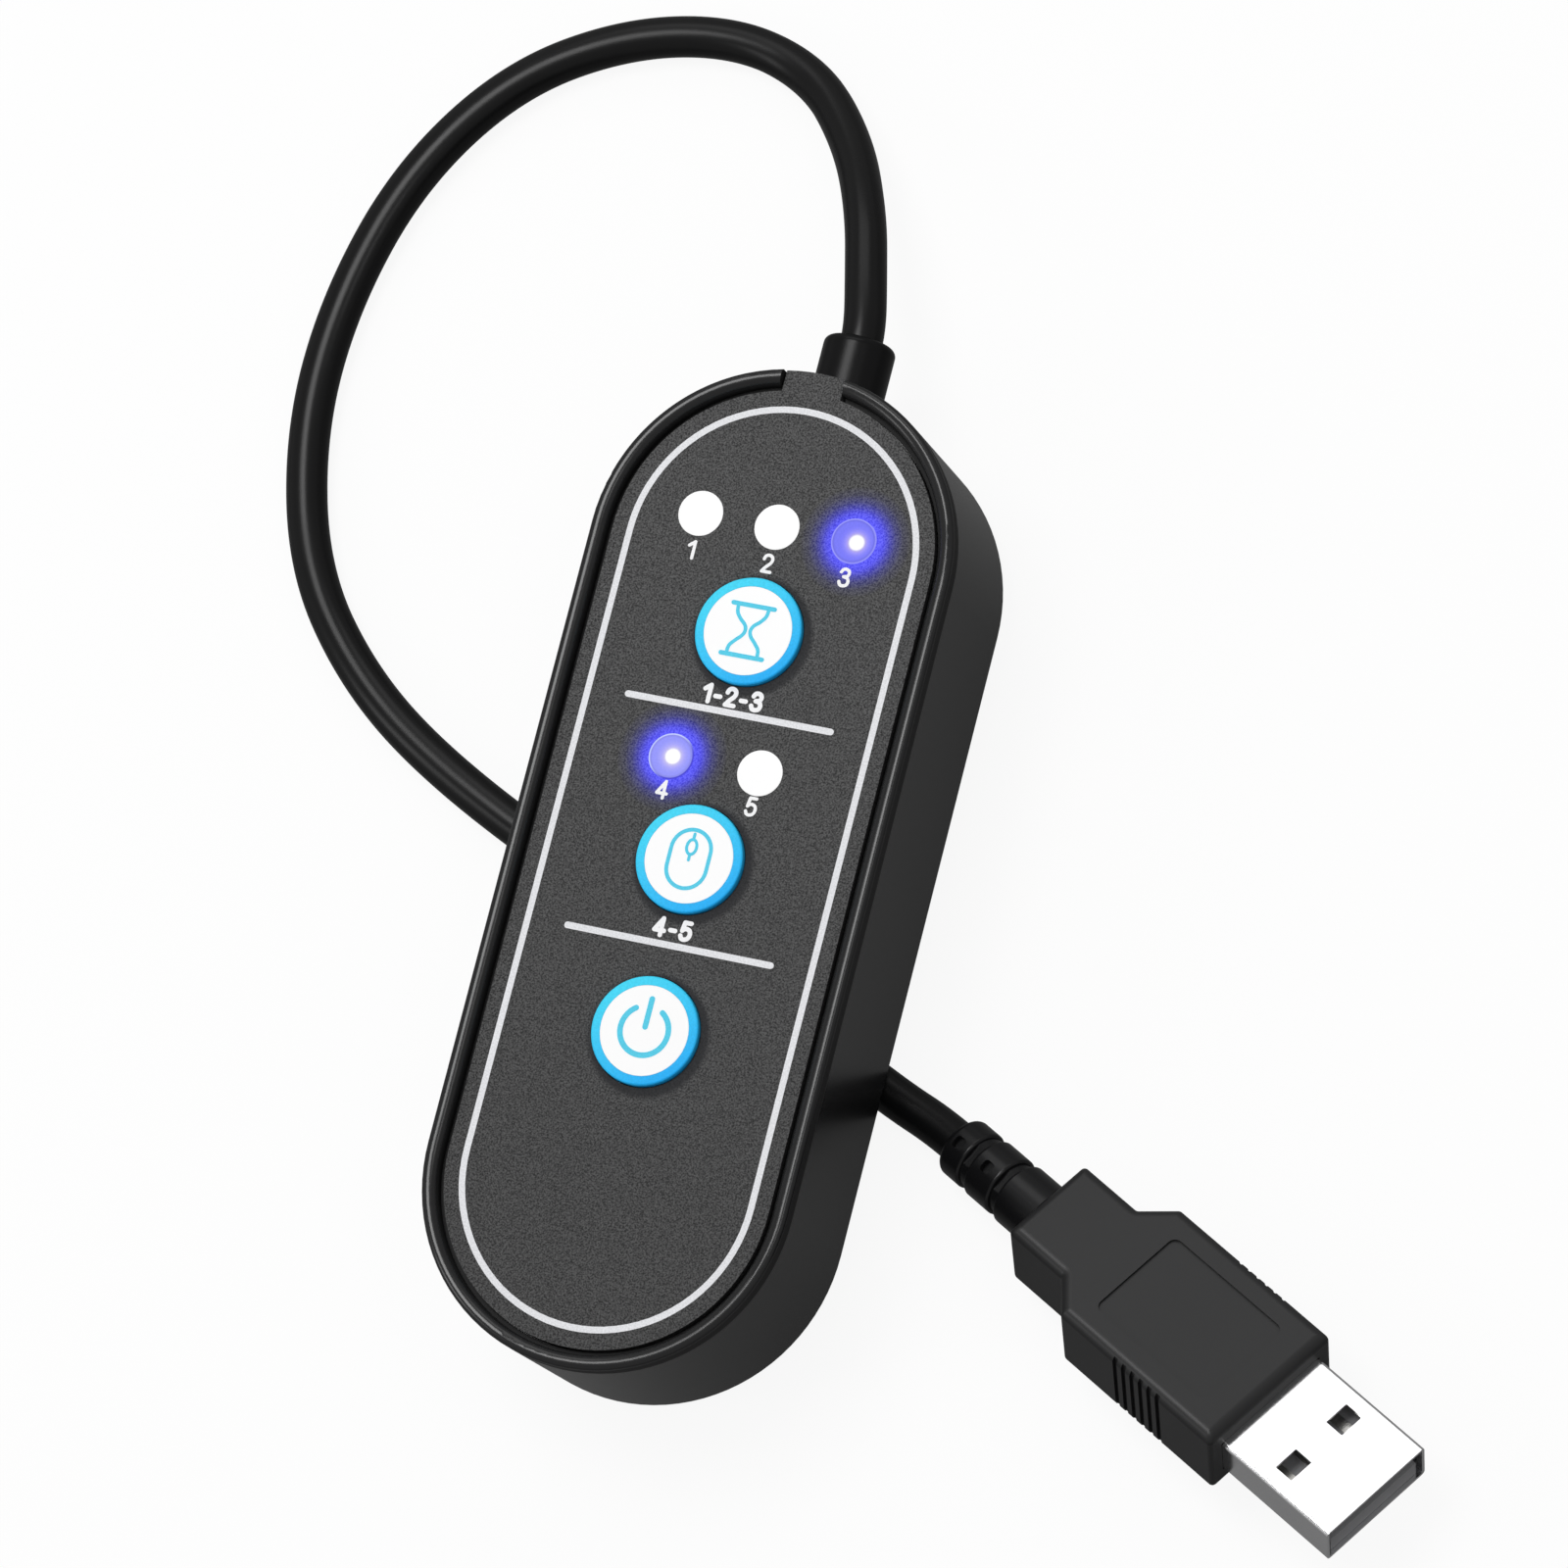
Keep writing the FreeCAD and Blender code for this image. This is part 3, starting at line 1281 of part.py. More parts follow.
def make_shell():
    body = new_body("usb_shell")
    outline = new_sketch(body, "shell_outline", up="-Sizes.shell_embedded", plane="YZ_Plane")
    draw_rectangle(outline, "Sizes.shell_width", "Sizes.shell_height")
    pad(body, outline, "Sizes.shell_exposed + Sizes.shell_embedded", "shell_block")
    long_edges = [
        f"Edge{i}" for i, edge in enumerate(body.Shape.Edges, start=1) if edge.BoundBox.XLength > 9
    ]
    round_edges(body, long_edges, "Sizes.shell_corner_round", "shell_corners")
    inside = new_sketch(body, "shell_inside_outline", up="Sizes.shell_exposed", plane="YZ_Plane")
    draw_rectangle(
        inside,
        "Sizes.shell_width - 2 * Sizes.shell_sheet",
        "Sizes.shell_height - 2 * Sizes.shell_sheet",
    )
    pocket(body, inside, "Sizes.shell_exposed + Sizes.shell_embedded", "shell_inside")
    reach = size["shell_height"] / 2 - size["shell_sheet"]
    inner_edges = [
        f"Edge{i}"
        for i, edge in enumerate(body.Shape.Edges, start=1)
        if edge.BoundBox.XLength > 9
        and abs(abs(edge.BoundBox.ZMin) - reach) < 1e-3
        and edge.BoundBox.YLength < 1e-3
    ]
    round_edges(
        body, inner_edges, "Sizes.shell_corner_round - Sizes.shell_sheet", "inner_corners"
    )
    for side in (-1, 1):
        hole = new_sketch(
            body, "shell_hole_outline", up="Sizes.shell_height",
            across="Sizes.shell_hole_place", along=f"{side} * Sizes.shell_hole_spacing / 2",
        )
        draw_rectangle(hole, "Sizes.shell_hole_length", "Sizes.shell_hole_width")
        pocket(body, hole, "2 * Sizes.shell_height", "shell_hole")
    pose(body)
    keep("usb_shell", body)


def make_tongue():
    inside = "(Sizes.shell_height / 2 - Sizes.shell_sheet - Sizes.tongue_gap)"
    width = "Sizes.shell_width - 2 * Sizes.shell_sheet - 2 * Sizes.tongue_gap"
    tip = "Sizes.shell_exposed - Sizes.tongue_set_back"
    back = "(Sizes.shell_embedded - Sizes.shell_sheet)"
    block = box(
        "tongue_block", f"Sizes.tongue_block_front + {back}",
        f"{width} - 2 * Sizes.shell_corner_round", f"2 * {inside}",
        f"(Sizes.tongue_block_front - {back}) / 2", "0", f"-{inside}",
    )
    plate = box(
        "tongue_plate", f"{tip} + {back}", f"{width} - 2 * Sizes.shell_corner_round",
        "Sizes.tongue_thickness", f"({tip} - {back}) / 2", "0", f"-{inside}",
    )
    tongue = fuse("usb_tongue_solid", [block, plate])
    pose(tongue)
    keep("usb_tongue", tongue)

    strips = []
    top = f"Sizes.tongue_thickness - {inside}"
    for kind in ("inner", "outer"):
        for side in (-1, 1):
            length = f"Sizes.contact_{kind}_length"
            strips.append(
                box(
                    f"{kind}_contact", length, "Sizes.contact_width", "Sizes.contact_thickness",
                    f"Sizes.contact_back + {length} / 2",
                    f"{side} * Sizes.contact_{kind}_spacing / 2", top,
                )
            )
    contacts = group("usb_contacts_group", strips)
    pose(contacts)
    keep("usb_contacts", contacts)


overmould = fuse("overmould_and_relief", [make_overmould(), make_relief()])
pose(overmould)
keep("plug_overmould", overmould)
make_shell()
make_tongue()


# ---- finished files ----

doc.recompute()
for thing in doc.Objects:
    if "Invalid" in thing.State or "Error" in thing.State:
        raise ValueError(f"{thing.Name} did not compute: {thing.State}")
os.makedirs("parts", exist_ok=True)
for node, thing in parts.items():
    shape = thing.Shape
    if shape.isNull() or not shape.isValid() or not shape.Solids:
        raise ValueError(f"{node} is not a sound solid")
    shape.exportStep(f"parts/{node}.step")
    low, high = shape.BoundBox, shape.BoundBox
    print(
        f"{node:22s} solids {len(shape.Solids):2d} volume {shape.Volume:9.2f}"
        f"  x {low.XMin:7.2f} {high.XMax:7.2f}  y {low.YMin:7.2f} {high.YMax:7.2f}"
        f"  z {low.ZMin:7.2f} {high.ZMax:7.2f}"
    )
print(len(parts), "sub-parts; floor at", round(level["floor_level"], 2))
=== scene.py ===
"""Looks of the mouse jiggler: cord, printed figures, materials, studio and camera. Metres."""

import math

import bmesh
import bpy
from mathutils import Matrix, Vector


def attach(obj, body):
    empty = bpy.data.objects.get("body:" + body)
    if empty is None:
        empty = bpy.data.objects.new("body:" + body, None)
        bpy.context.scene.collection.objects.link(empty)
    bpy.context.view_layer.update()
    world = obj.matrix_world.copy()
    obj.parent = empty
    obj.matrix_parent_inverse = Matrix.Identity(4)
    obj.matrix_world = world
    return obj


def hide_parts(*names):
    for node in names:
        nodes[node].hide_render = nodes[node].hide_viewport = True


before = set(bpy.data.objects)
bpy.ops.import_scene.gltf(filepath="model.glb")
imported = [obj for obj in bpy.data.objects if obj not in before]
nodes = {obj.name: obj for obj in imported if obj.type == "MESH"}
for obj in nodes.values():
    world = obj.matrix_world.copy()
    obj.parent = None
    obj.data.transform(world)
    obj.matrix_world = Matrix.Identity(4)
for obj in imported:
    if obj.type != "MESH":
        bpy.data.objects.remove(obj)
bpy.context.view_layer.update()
MM = 0.001

# ---- sizes and places that the part's source also holds, in millimetres ----

FLOOR = -13.3
PANEL_TOP = 8.45
CAP_TOP = 9.05
CORD_DIAMETER = 3.9
CORD_ROUTE = [
    (0.0, 52.15, -1.3), (-0.05, 53.75, -1.3), (-1.25, 58.0, -1.95), (-3.65, 65.0, -4.1),
    (-7.9, 72.5, -7.9), (-14.2, 79.2, -10.9), (-22.9, 82.0, -11.35), (-33.6, 80.2, -11.35),
    (-43.9, 74.2, -11.35), (-51.5, 63.3, -11.35), (-55.0, 50.0, -11.35), (-55.0, 37.2, -11.35),
    (-51.0, 24.0, -11.35), (-43.0, 14.5, -11.35), (-32.7, 7.6, -11.35), (-16.0, 0.2, -11.35),
    (2.0, -6.65, -11.35), (11.9, -11.1, -11.35), (18.1, -13.95, -11.15),
    (22.516, -15.601, -10.888), (25.109, -16.958, -10.229),
]
BUTTONS = {"time": 21.65, "mode": 0.39, "power": -15.52}
RING_RADIUS = 4.96
WINDOWS = {
    "time_window_left": (-7.35, 31.58),
    "time_window_middle": (0.0, 31.58),
    "time_window_right": (7.35, 31.58),
    "mode_window_left": (-4.25, 9.27),
    "mode_window_right": (4.25, 9.27),
}
PLUG_FACE = (59.9, -35.22, -5.0734)
PLUG_AXIS = (0.8815, -0.4634, 0.0912)
PLUG_UP = (0.0926, 0.3588, 0.9288)

# ---- the print's sizes and places, in millimetres ----

PRINT_THICKNESS = 0.02
PRINT_SUNK = 0.01
PRINT_STEP = 0.003
OUTLINE_RADIUS = 13.52
OUTLINE_HALF_RUN = 28.99
OUTLINE_WIDTH = 0.6
DIVIDERS = {"upper_divider": 14.13, "lower_divider": -7.51}
DIVIDER_HALF_LENGTH = 9.70
DIVIDER_WIDTH = 0.61
WINDOW_NUMBER_DROPS = {"time": 3.43, "mode": 3.12}
WINDOW_NUMBER_HEIGHT = 1.85
WINDOW_NUMBER_WEIGHT = 0.30
BUTTON_NUMBERS = {"time": ("1-2-3", 15.55), "mode": ("4-5", -6.0)}
BUTTON_NUMBER_HEIGHT = 1.95
BUTTON_NUMBER_WEIGHT = 0.42


def show(item):
    bpy.context.scene.collection.objects.link(item)


# ---- camera, set for a frame of 1600 x 1600 ----

CAMERA_RIGHT = (0.9311, 0.24522, -0.27003)
CAMERA_FORWARD = (-0.31725, 0.17911, -0.93128)
CAMERA_PLACE = (220.552, -112.005, 636.222)
CAMERA_LENS = 174.619


def make_camera():
    right = Vector(CAMERA_RIGHT).normalized()
    forward = Vector(CAMERA_FORWARD).normalized()
    up = right.cross(forward)
    camera = bpy.data.cameras.new("camera")
    camera.lens = CAMERA_LENS
    camera.sensor_width = 36.0
    camera.clip_start = 0.01
    holder = bpy.data.objects.new("camera", camera)
    turn = Matrix((right, up, -forward)).transposed()
    holder.matrix_world = Matrix.Translation(Vector(CAMERA_PLACE) * MM) @ turn.to_4x4()
    show(holder)
    bpy.context.scene.camera = holder


make_camera()


# ---- materials: node helpers ----

GRAIN_SIZE = 0.00016
FINE_GRAIN_SIZE = 0.00012
WINDOW_GRAIN_SIZE = 0.00018
DRIFT_SIZE = 0.012
COAT_ROUGHNESS = 0.1


def new_material(name, color, roughness, metallic=0.0, specular=0.5, coat=0.0):
    """A Principled material; uniform values sit on its own sockets."""
    material = bpy.data.materials.new(name)
    material.use_nodes = True
    inputs = shader_of(material).inputs
    inputs["Base Color"].default_value = (*color, 1)
    inputs["Roughness"].default_value = roughness
    inputs["Metallic"].default_value = metallic
    inputs["Specular IOR Level"].default_value = specular
    inputs["Coat Weight"].default_value = coat
    inputs["Coat Roughness"].default_value = COAT_ROUGHNESS
    material.diffuse_color = (*color, 1)
    return material


def shader_of(material):
    return material.node_tree.nodes["Principled BSDF"]


def add(material, kind, **values):
    node = material.node_tree.nodes.new(kind)
    for key, value in values.items():
        setattr(node, key, value)
    return node


def link(material, source, target):
    material.node_tree.links.new(source, target)


def object_position(material):
    """The point on the object, in metres, in the row frame."""
    return add(material, "ShaderNodeTexCoord").outputs["Object"]


def noise(material, position, size, detail=2.0, roughness=0.5):
    """Noise whose grains are about size metres across."""
    node = add(material, "ShaderNodeTexNoise")
    node.inputs["Scale"].default_value = 1.0 / size
    node.inputs["Detail"].default_value = detail
    node.inputs["Roughness"].default_value = roughness
    link(material, position, node.inputs["Vector"])
    return node.outputs["Fac"]


def remap(material, value, low, high, to_low, to_high, curve="LINEAR"):
    node = add(material, "ShaderNodeMapRange", interpolation_type=curve)
    for name, number in zip(
        ("From Min", "From Max", "To Min", "To Max"), (low, high, to_low, to_high)
    ):
        node.inputs[name].default_value = number
    link(material, value, node.inputs["Value"])
    return node.outputs["Result"]


def noise_between(material, value, low, high):
    """A noise, most of which lies from 0.3 to 0.7, brought between low and high."""
    return remap(material, value, 0.3, 0.7, low, high)


def maths(material, operation, first, second):
    """One sum; either side is a number or a socket."""
    node = add(material, "ShaderNodeMath", operation=operation)
    for side, value in enumerate((first, second)):
        if isinstance(value, (int, float)):
            node.inputs[side].default_value = value
        else:
            link(material, value, node.inputs[side])
    return node.outputs["Value"]


def blend_colors(material, factor, low, high, mode="MIX"):
    """low and high are colours or sockets."""
    node = add(material, "ShaderNodeMix", data_type="RGBA", blend_type=mode)
    for name, value in (("A", low), ("B", high)):
        target = [s for s in node.inputs if s.name == name and s.type == "RGBA"][0]
        if isinstance(value, tuple):
            target.default_value = (*value, 1)
        else:
            link(material, value, target)
    target = [s for s in node.inputs if s.name == "Factor" and s.type == "VALUE"][0]
    if isinstance(factor, float):
        target.default_value = factor
    else:
        link(material, factor, target)
    return [s for s in node.outputs if s.type == "RGBA"][0]


def ramp(material, value, stops, span):
    """A colour for each value from 0 to 1; the stops' places are given out of span."""
    node = add(material, "ShaderNodeValToRGB")
    elements = node.color_ramp.elements
    while len(elements) < len(stops):
        elements.new(0.5)
    for element, (place, color) in zip(elements, stops):
        element.position = place / span
        element.color = (*color, 1)
    link(material, value, node.inputs["Fac"])
    return node.outputs["Color"]


def scaled(material, color, factor):
    """A colour made brighter or darker by a socket's value."""
    node = add(material, "ShaderNodeVectorMath", operation="SCALE")
    link(material, color, node.inputs["Vector"])
    link(material, factor, node.inputs["Scale"])
    return node.outputs["Vector"]


def distance_from(material, position, point):
    """Distance from a point, in millimetres."""
    node = add(material, "ShaderNodeVectorMath", operation="DISTANCE")
    link(material, position, node.inputs[0])
    node.inputs[1].default_value = Vector(point) * MM
    return maths(material, "MULTIPLY", node.outputs["Value"], 1 / MM)


def along(material, position, direction, origin=(0, 0, 0)):
    """How far the point is from the origin along a direction, in millimetres."""
    offset = add(material, "ShaderNodeVectorMath", operation="SUBTRACT")
    link(material, position, offset.inputs[0])
    offset.inputs[1].default_value = Vector(origin) * MM
    node = add(material, "ShaderNodeVectorMath", operation="DOT_PRODUCT")
    link(material, offset.outputs["Vector"], node.inputs[0])
    node.inputs[1].default_value = Vector(direction).normalized()
    return maths(material, "MULTIPLY", node.outputs["Value"], 1 / MM)


def bump(material, height, depth):
    """Roughens the surface by the noise height; depth is in metres."""
    node = add(material, "ShaderNodeBump")
    node.inputs["Distance"].default_value = depth
    node.inputs["Strength"].default_value = 1.0
    link(material, height, node.inputs["Height"])
    link(material, node.outputs["Normal"], shader_of(material).inputs["Normal"])


def drifting(material, factor, color, spread):
    """A colour that drifts by the share spread to either side."""
    light = tuple(min(1.0, c * (1 + spread)) for c in color)
    dark = tuple(c * (1 - spread) for c in color)
    return blend_colors(material, factor, dark, light)


def moulded(
    name, color, roughness, grain=FINE_GRAIN_SIZE, depth=0.000004, spread=0.06, speckle=0.0, **more
):
    """Moulded plastic: a fine grain, a slow drift in colour and sheen, and specks where given."""
    material = new_material(name, color, roughness, **more)
    shader = shader_of(material)
    position = object_position(material)
    fine = noise(material, position, grain)
    slow = noise(material, position, DRIFT_SIZE, detail=3)
    tone = drifting(material, slow, color, spread)
    if speckle:
        tone = scaled(material, tone, noise_between(material, fine, 1 - speckle, 1 + speckle))
    link(material, tone, shader.inputs["Base Color"])
    sheen = noise_between(material, slow, roughness - 0.03, roughness + 0.03)
    link(material, sheen, shader.inputs["Roughness"])
    bump(material, fine, depth)
    return material


def metal(name, color, roughness, brush=None):
    """Plated metal: soft stains, and brushed along one axis where brush gives it."""
    material = new_material(name, color, roughness, metallic=1.0)
    shader = shader_of(material)
    position = object_position(material)
    if brush:
        stretch = add(material, "ShaderNodeMapping")
        stretch.inputs["Scale"].default_value = brush
        link(material, position, stretch.inputs["Vector"])
        fine = noise(material, stretch.outputs["Vector"], 0.0001, detail=3)
    else:
        fine = noise(material, position, 0.00015, detail=3)
    stains = noise(material, position, 0.004, detail=3)
    link(material, drifting(material, stains, color, 0.05), shader.inputs["Base Color"])
    sheen = noise_between(material, fine, roughness - 0.05, roughness + 0.05)
    link(material, sheen, shader.inputs["Roughness"])
    bump(material, fine, 0.000001)
    return material


# ---- panel: grained grey paint, with painted glow from the two lamps that are on and painted shadows round the buttons ----

# The middle of each lit spot and, outwards from it, the colours of the lamps' glow painted on the
# paint as its emission; in millimetres.
LAMP_SPOTS = {"time_window_right": (7.66, 31.48), "mode_window_left": (-4.09, 9.285)}
GLOW_REACH = 6.0
GLOW = [
    (2.28, (0.045, 0.042, 0.90)), (2.64, (0.034, 0.030, 0.77)), (3.18, (0.010, 0.008, 0.37)),
    (3.72, (0.002, 0.002, 0.14)), (4.38, (0.001, 0.001, 0.035)), (5.16, (0.0, 0.0, 0.0)),
]
PAINT_DARK = (0.013, 0.013, 0.0135)
PAINT_LIGHT = (0.105, 0.105, 0.1055)
# The colour of the painted shadow round the buttons.
PAINTED_SHADOW_TONE = (0.008, 0.008, 0.010)


def button_shade(material, position):
    """Painted shadow round the three buttons, set off a little towards +x and -y as if cast: 1 on
    open paint, falling close round the buttons.
    """
    shade = None
    for place in BUTTONS.values():
        reach = distance_from(material, position, (0.33, place - 0.3, PANEL_TOP))
        near = remap(
            material, reach, RING_RADIUS + 0.3, RING_RADIUS + 0.95, 0.18, 1.0, "SMOOTHSTEP"
        )
        shade = near if shade is None else maths(material, "MULTIPLY", shade, near)
    return shade


def lamp_glow(material, position):
    """Painted blue glow of the lamps' light on the paint round the two lit windows, centred
    between the window and its bright spot.
    """
    glow = None
    for name, spot in LAMP_SPOTS.items():
        middle = [0.6 * a + 0.4 * b for a, b in zip(spot, WINDOWS[name])]
        distance = distance_from(material, position, (*middle, PANEL_TOP))
        reach = remap(material, distance, 0.0, GLOW_REACH, 0.0, 1.0)
        light = ramp(material, reach, GLOW, GLOW_REACH)
        glow = light if glow is None else blend_colors(material, 1.0, glow, light, "ADD")
    return glow


def panel_paint():
    material = new_material("panel_paint", (0.06, 0.06, 0.06), 0.62, specular=0.25)
    shader = shader_of(material)
    position = object_position(material)
    grain = noise(material, position, GRAIN_SIZE, detail=1.5, roughness=0.7)
    speck = remap(material, grain, 0.36, 0.64, 0.0, 1.0)
    color = blend_colors(material, speck, PAINT_DARK, PAINT_LIGHT)
    # Painted shade: the paint grows darker towards its -y end, a painted fall-off of the light.
    painted_falloff = remap(material, along(material, position, (0, 1, 0)), -30.0, 30.0, 0.80, 0.98)
    color = scaled(material, color, painted_falloff)
    # Painted shadow round the buttons darkens the paint.
    shade = button_shade(material, position)
    shaded = blend_colors(material, shade, PAINTED_SHADOW_TONE, color)
    link(material, shaded, shader.inputs["Base Color"])
    bump(material, grain, 0.00003)
    # The lamps' glow on the paint is painted light, given as the paint's emission.
    glow = lamp_glow(material, position)
    speckled = scaled(material, glow, noise_between(material, grain, 0.82, 1.18))
    link(material, speckled, shader.inputs["Emission Color"])
    shader.inputs["Emission Strength"].default_value = 1.0
    return material


# For each lit window, the colours of its disc from the spot outwards, in millimetres, and those of
# its drawn edge on its lighter and darker side, a painted highlight and painted shade.
SPOT_WHITE = (1.0, 0.99, 1.0)
DISC_SPAN = 2.0
LIT_DISCS = {
    "time_window_right": [
        (0.0, SPOT_WHITE), (0.64, SPOT_WHITE), (0.70, (0.78, 0.75, 0.95)),
        (0.80, (0.45, 0.41, 0.81)), (0.90, (0.38, 0.33, 0.90)), (1.0, (0.32, 0.29, 0.95)),
        (1.15, (0.26, 0.25, 0.94)), (1.3, (0.215, 0.21, 0.94)), (1.5, (0.19, 0.19, 0.94)),
        (1.65, (0.18, 0.185, 0.92)),
    ],
    "mode_window_left": [
        (0.0, SPOT_WHITE), (0.64, SPOT_WHITE), (0.70, (0.77, 0.75, 0.95)),
        (0.80, (0.54, 0.51, 0.85)), (0.90, (0.48, 0.45, 0.91)), (1.0, (0.43, 0.41, 0.93)),
        (1.15, (0.37, 0.36, 0.95)), (1.3, (0.335, 0.34, 0.94)), (1.5, (0.30, 0.31, 0.95)),
        (1.65, (0.29, 0.30, 0.95)),
    ],
}
LIT_EDGE_LIGHT_AND_SHADE = {
    "time_window_right": ((0.31, 0.31, 0.95), (0.27, 0.27, 0.90)),
    "mode_window_left": ((0.54, 0.60, 0.97), (0.06, 0.055, 0.65)),
}


def lit_window(name):
    """A window with its lamp on: a bright spot in a violet disc, a little darker towards its rim,
    with its edge painted lighter on one side and darker on the other as a painted highlight and
    painted shade.
    """
    material = new_material(f"{name}_lit", (0.02, 0.02, 0.03), 0.4, specular=0.03)
    shader = shader_of(material)
    position = object_position(material)
    from_spot = distance_from(material, position, (*LAMP_SPOTS[name], PANEL_TOP))
    reach = remap(material, from_spot, 0.0, DISC_SPAN, 0.0, 1.0)
    disc = ramp(material, reach, LIT_DISCS[name], DISC_SPAN)
    middle = (*WINDOWS[name], PANEL_TOP)
    out = distance_from(material, position, middle)
    shade = remap(material, out, 1.72, 1.92, 1.0, 0.84, "SMOOTHSTEP")
    edge = remap(material, out, 1.95, 2.0, 0.0, 1.0)
    # The edge's painted highlight and painted shade: lighter towards -x and +y, darker towards +x
    # and -y.
    across = along(material, position, (1, -0.8, 0), middle)
    side = remap(material, across, -1.0, 1.3, 0.0, 1.0, "SMOOTHSTEP")
    edge_light_and_shade = blend_colors(material, side, *LIT_EDGE_LIGHT_AND_SHADE[name])
    grain = noise(material, position, WINDOW_GRAIN_SIZE, detail=1.0)
    lit = blend_colors(material, edge, scaled(material, disc, shade), edge_light_and_shade)
    speckled = scaled(material, lit, noise_between(material, grain, 0.96, 1.03))
    link(material, speckled, shader.inputs["Emission Color"])
    shader.inputs["Emission Strength"].default_value = 1.0
    return material


# ---- the other pieces that differ from place to place ----


def ring_blue(name, place):
    """Blue plastic, lighter on the side of the light."""
    material = new_material(f"{name}_blue", (0.05, 0.5, 0.92), 0.4, specular=0.08)
    shader = shader_of(material)
    position = object_position(material)
    side = along(material, position, (0.62, -0.78, 0), (0, place, CAP_TOP))
    lean = remap(material, side, -4.8, 4.8, 0.0, 1.0)
    grain = noise(material, position, WINDOW_GRAIN_SIZE, detail=1.0)
    tone = blend_colors(material, lean, (0.060, 0.690, 0.93), (0.018, 0.430, 0.93))
    speckled = scaled(material, tone, noise_between(material, grain, 0.94, 1.06))
    link(material, speckled, shader.inputs["Base Color"])
    bump(material, grain, 0.000004)
    return material


def case_plastic():
    """Satin black with a polished bead; rougher in the groove and under the bead, where the colour
    is also darkened as painted shade.
    """
    polished, dull = 0.24, 0.7
    black, painted_shade_black = (0.009, 0.009, 0.0095), (0.004, 0.004, 0.0043)
    material = moulded("case_plastic", black, polished, depth=0.0000007, specular=0.45)
    shader = shader_of(material)
    height = along(material, object_position(material), (0, 0, 1))
    above = remap(material, height, 7.2, 7.6, 0.0, 1.0, "SMOOTHSTEP")
    below = remap(material, height, 8.6, 8.9, 1.0, 0.0, "SMOOTHSTEP")
    dull_and_shaded_share = maths(material, "MULTIPLY", above, below)
    # Painted shade: the groove and the band under the bead are given a darker black.
    tone = blend_colors(material, dull_and_shaded_share, black, painted_shade_black)
    link(material, tone, shader.inputs["Base Color"])
    sheen = remap(material, dull_and_shaded_share, 0.0, 1.0, polished, dull)
    link(material, sheen, shader.inputs["Roughness"])
    return material


def overmould_plastic():
    """Satin black on the plug's top, with painted shade darkening its sides, and darker on the
    glossier strain relief.
    """
    satin, glossy = 0.38, 0.27
    black = (0.020, 0.020, 0.0205)
    side_shade_black, relief_black = (0.0110, 0.0110, 0.0115), (0.0055, 0.0055, 0.006)
    material = moulded("overmould_plastic", black, satin, depth=0.000003, specular=0.3)
    shader = shader_of(material)
    position = object_position(material)
    to_the_front = along(material, position, PLUG_AXIS, PLUG_FACE)
    relief = remap(material, to_the_front, -27.9, -27.6, 1.0, 0.0)
    slow = noise(material, position, DRIFT_SIZE, detail=3)
    top = blend_colors(material, slow, (0.0190, 0.0190, 0.0195), (0.0220, 0.0220, 0.0225))
    height = along(material, position, PLUG_UP, PLUG_FACE)
    # Painted shade: below its top, the plug's sides are given a darker black.
    side_shade_share = remap(material, height, 3.5, 4.2, 1.0, 0.0, "SMOOTHSTEP")
    body = blend_colors(material, side_shade_share, top, side_shade_black)
    tone = blend_colors(material, relief, body, relief_black)
    link(material, tone, shader.inputs["Base Color"])
    sheen = remap(material, relief, 0.0, 1.0, satin, glossy)
    link(material, sheen, shader.inputs["Roughness"])
    return material


def board_mask():
    """Green solder mask with copper traces under it."""
    material = new_material("board_mask", (0.01, 0.11, 0.035), 0.3, specular=0.4)
    shader = shader_of(material)
    position = object_position(material)
    cells = add(material, "ShaderNodeTexBrick")
    cells.inputs["Scale"].default_value = 180.0
    cells.inputs["Mortar Size"].default_value = 0.012
    cells.inputs["Color1"].default_value = (0.010, 0.110, 0.035, 1)
    cells.inputs["Color2"].default_value = (0.013, 0.125, 0.042, 1)
    cells.inputs["Mortar"].default_value = (0.030, 0.220, 0.075, 1)
    link(material, position, cells.inputs["Vector"])
    link(material, cells.outputs["Color"], shader.inputs["Base Color"])
    bump(material, noise(material, position, 0.0004), 0.000004)
    return material


def printed(name, color, spread, speckle):
    return moulded(
        name, color, 0.5, grain=GRAIN_SIZE, spread=spread, speckle=speckle, specular=0.2
    )


rubber = moulded("cord_rubber", (0.004, 0.004, 0.0042), 0.30, depth=0.000002, specular=0.24)
boot_rubber = moulded("boot_rubber", (0.003, 0.003, 0.0033), 0.30, specular=0.19)
white = moulded("button_white", (0.95, 0.95, 0.95), 0.4, spread=0.01, specular=0.3)
window_white = moulded("window_white", (0.95, 0.95, 0.95), 0.35, spread=0.01, specular=0.3)
silver_print = printed("silver_print", (0.76, 0.765, 0.79), spread=0.05, speckle=0.12)
white_print = printed("white_print", (0.90, 0.90, 0.91), spread=0.02, speckle=0.04)
icon_blue = moulded(
    "icon_blue", (0.085, 0.60, 0.80), 0.45, spread=0.03, speckle=0.08, specular=0.15
)
tinned = metal("tinned_legs", (0.78, 0.78, 0.76), 0.28)
chip_black = moulded("chip_epoxy", (0.014, 0.014, 0.014), 0.6, grain=0.00008, depth=0.00001)
switch_black = moulded("switch_plastic", (0.03, 0.03, 0.032), 0.45)
lamp_clear = moulded("lamp_resin", (0.80, 0.78, 0.62), 0.2, spread=0.03, coat=0.3)

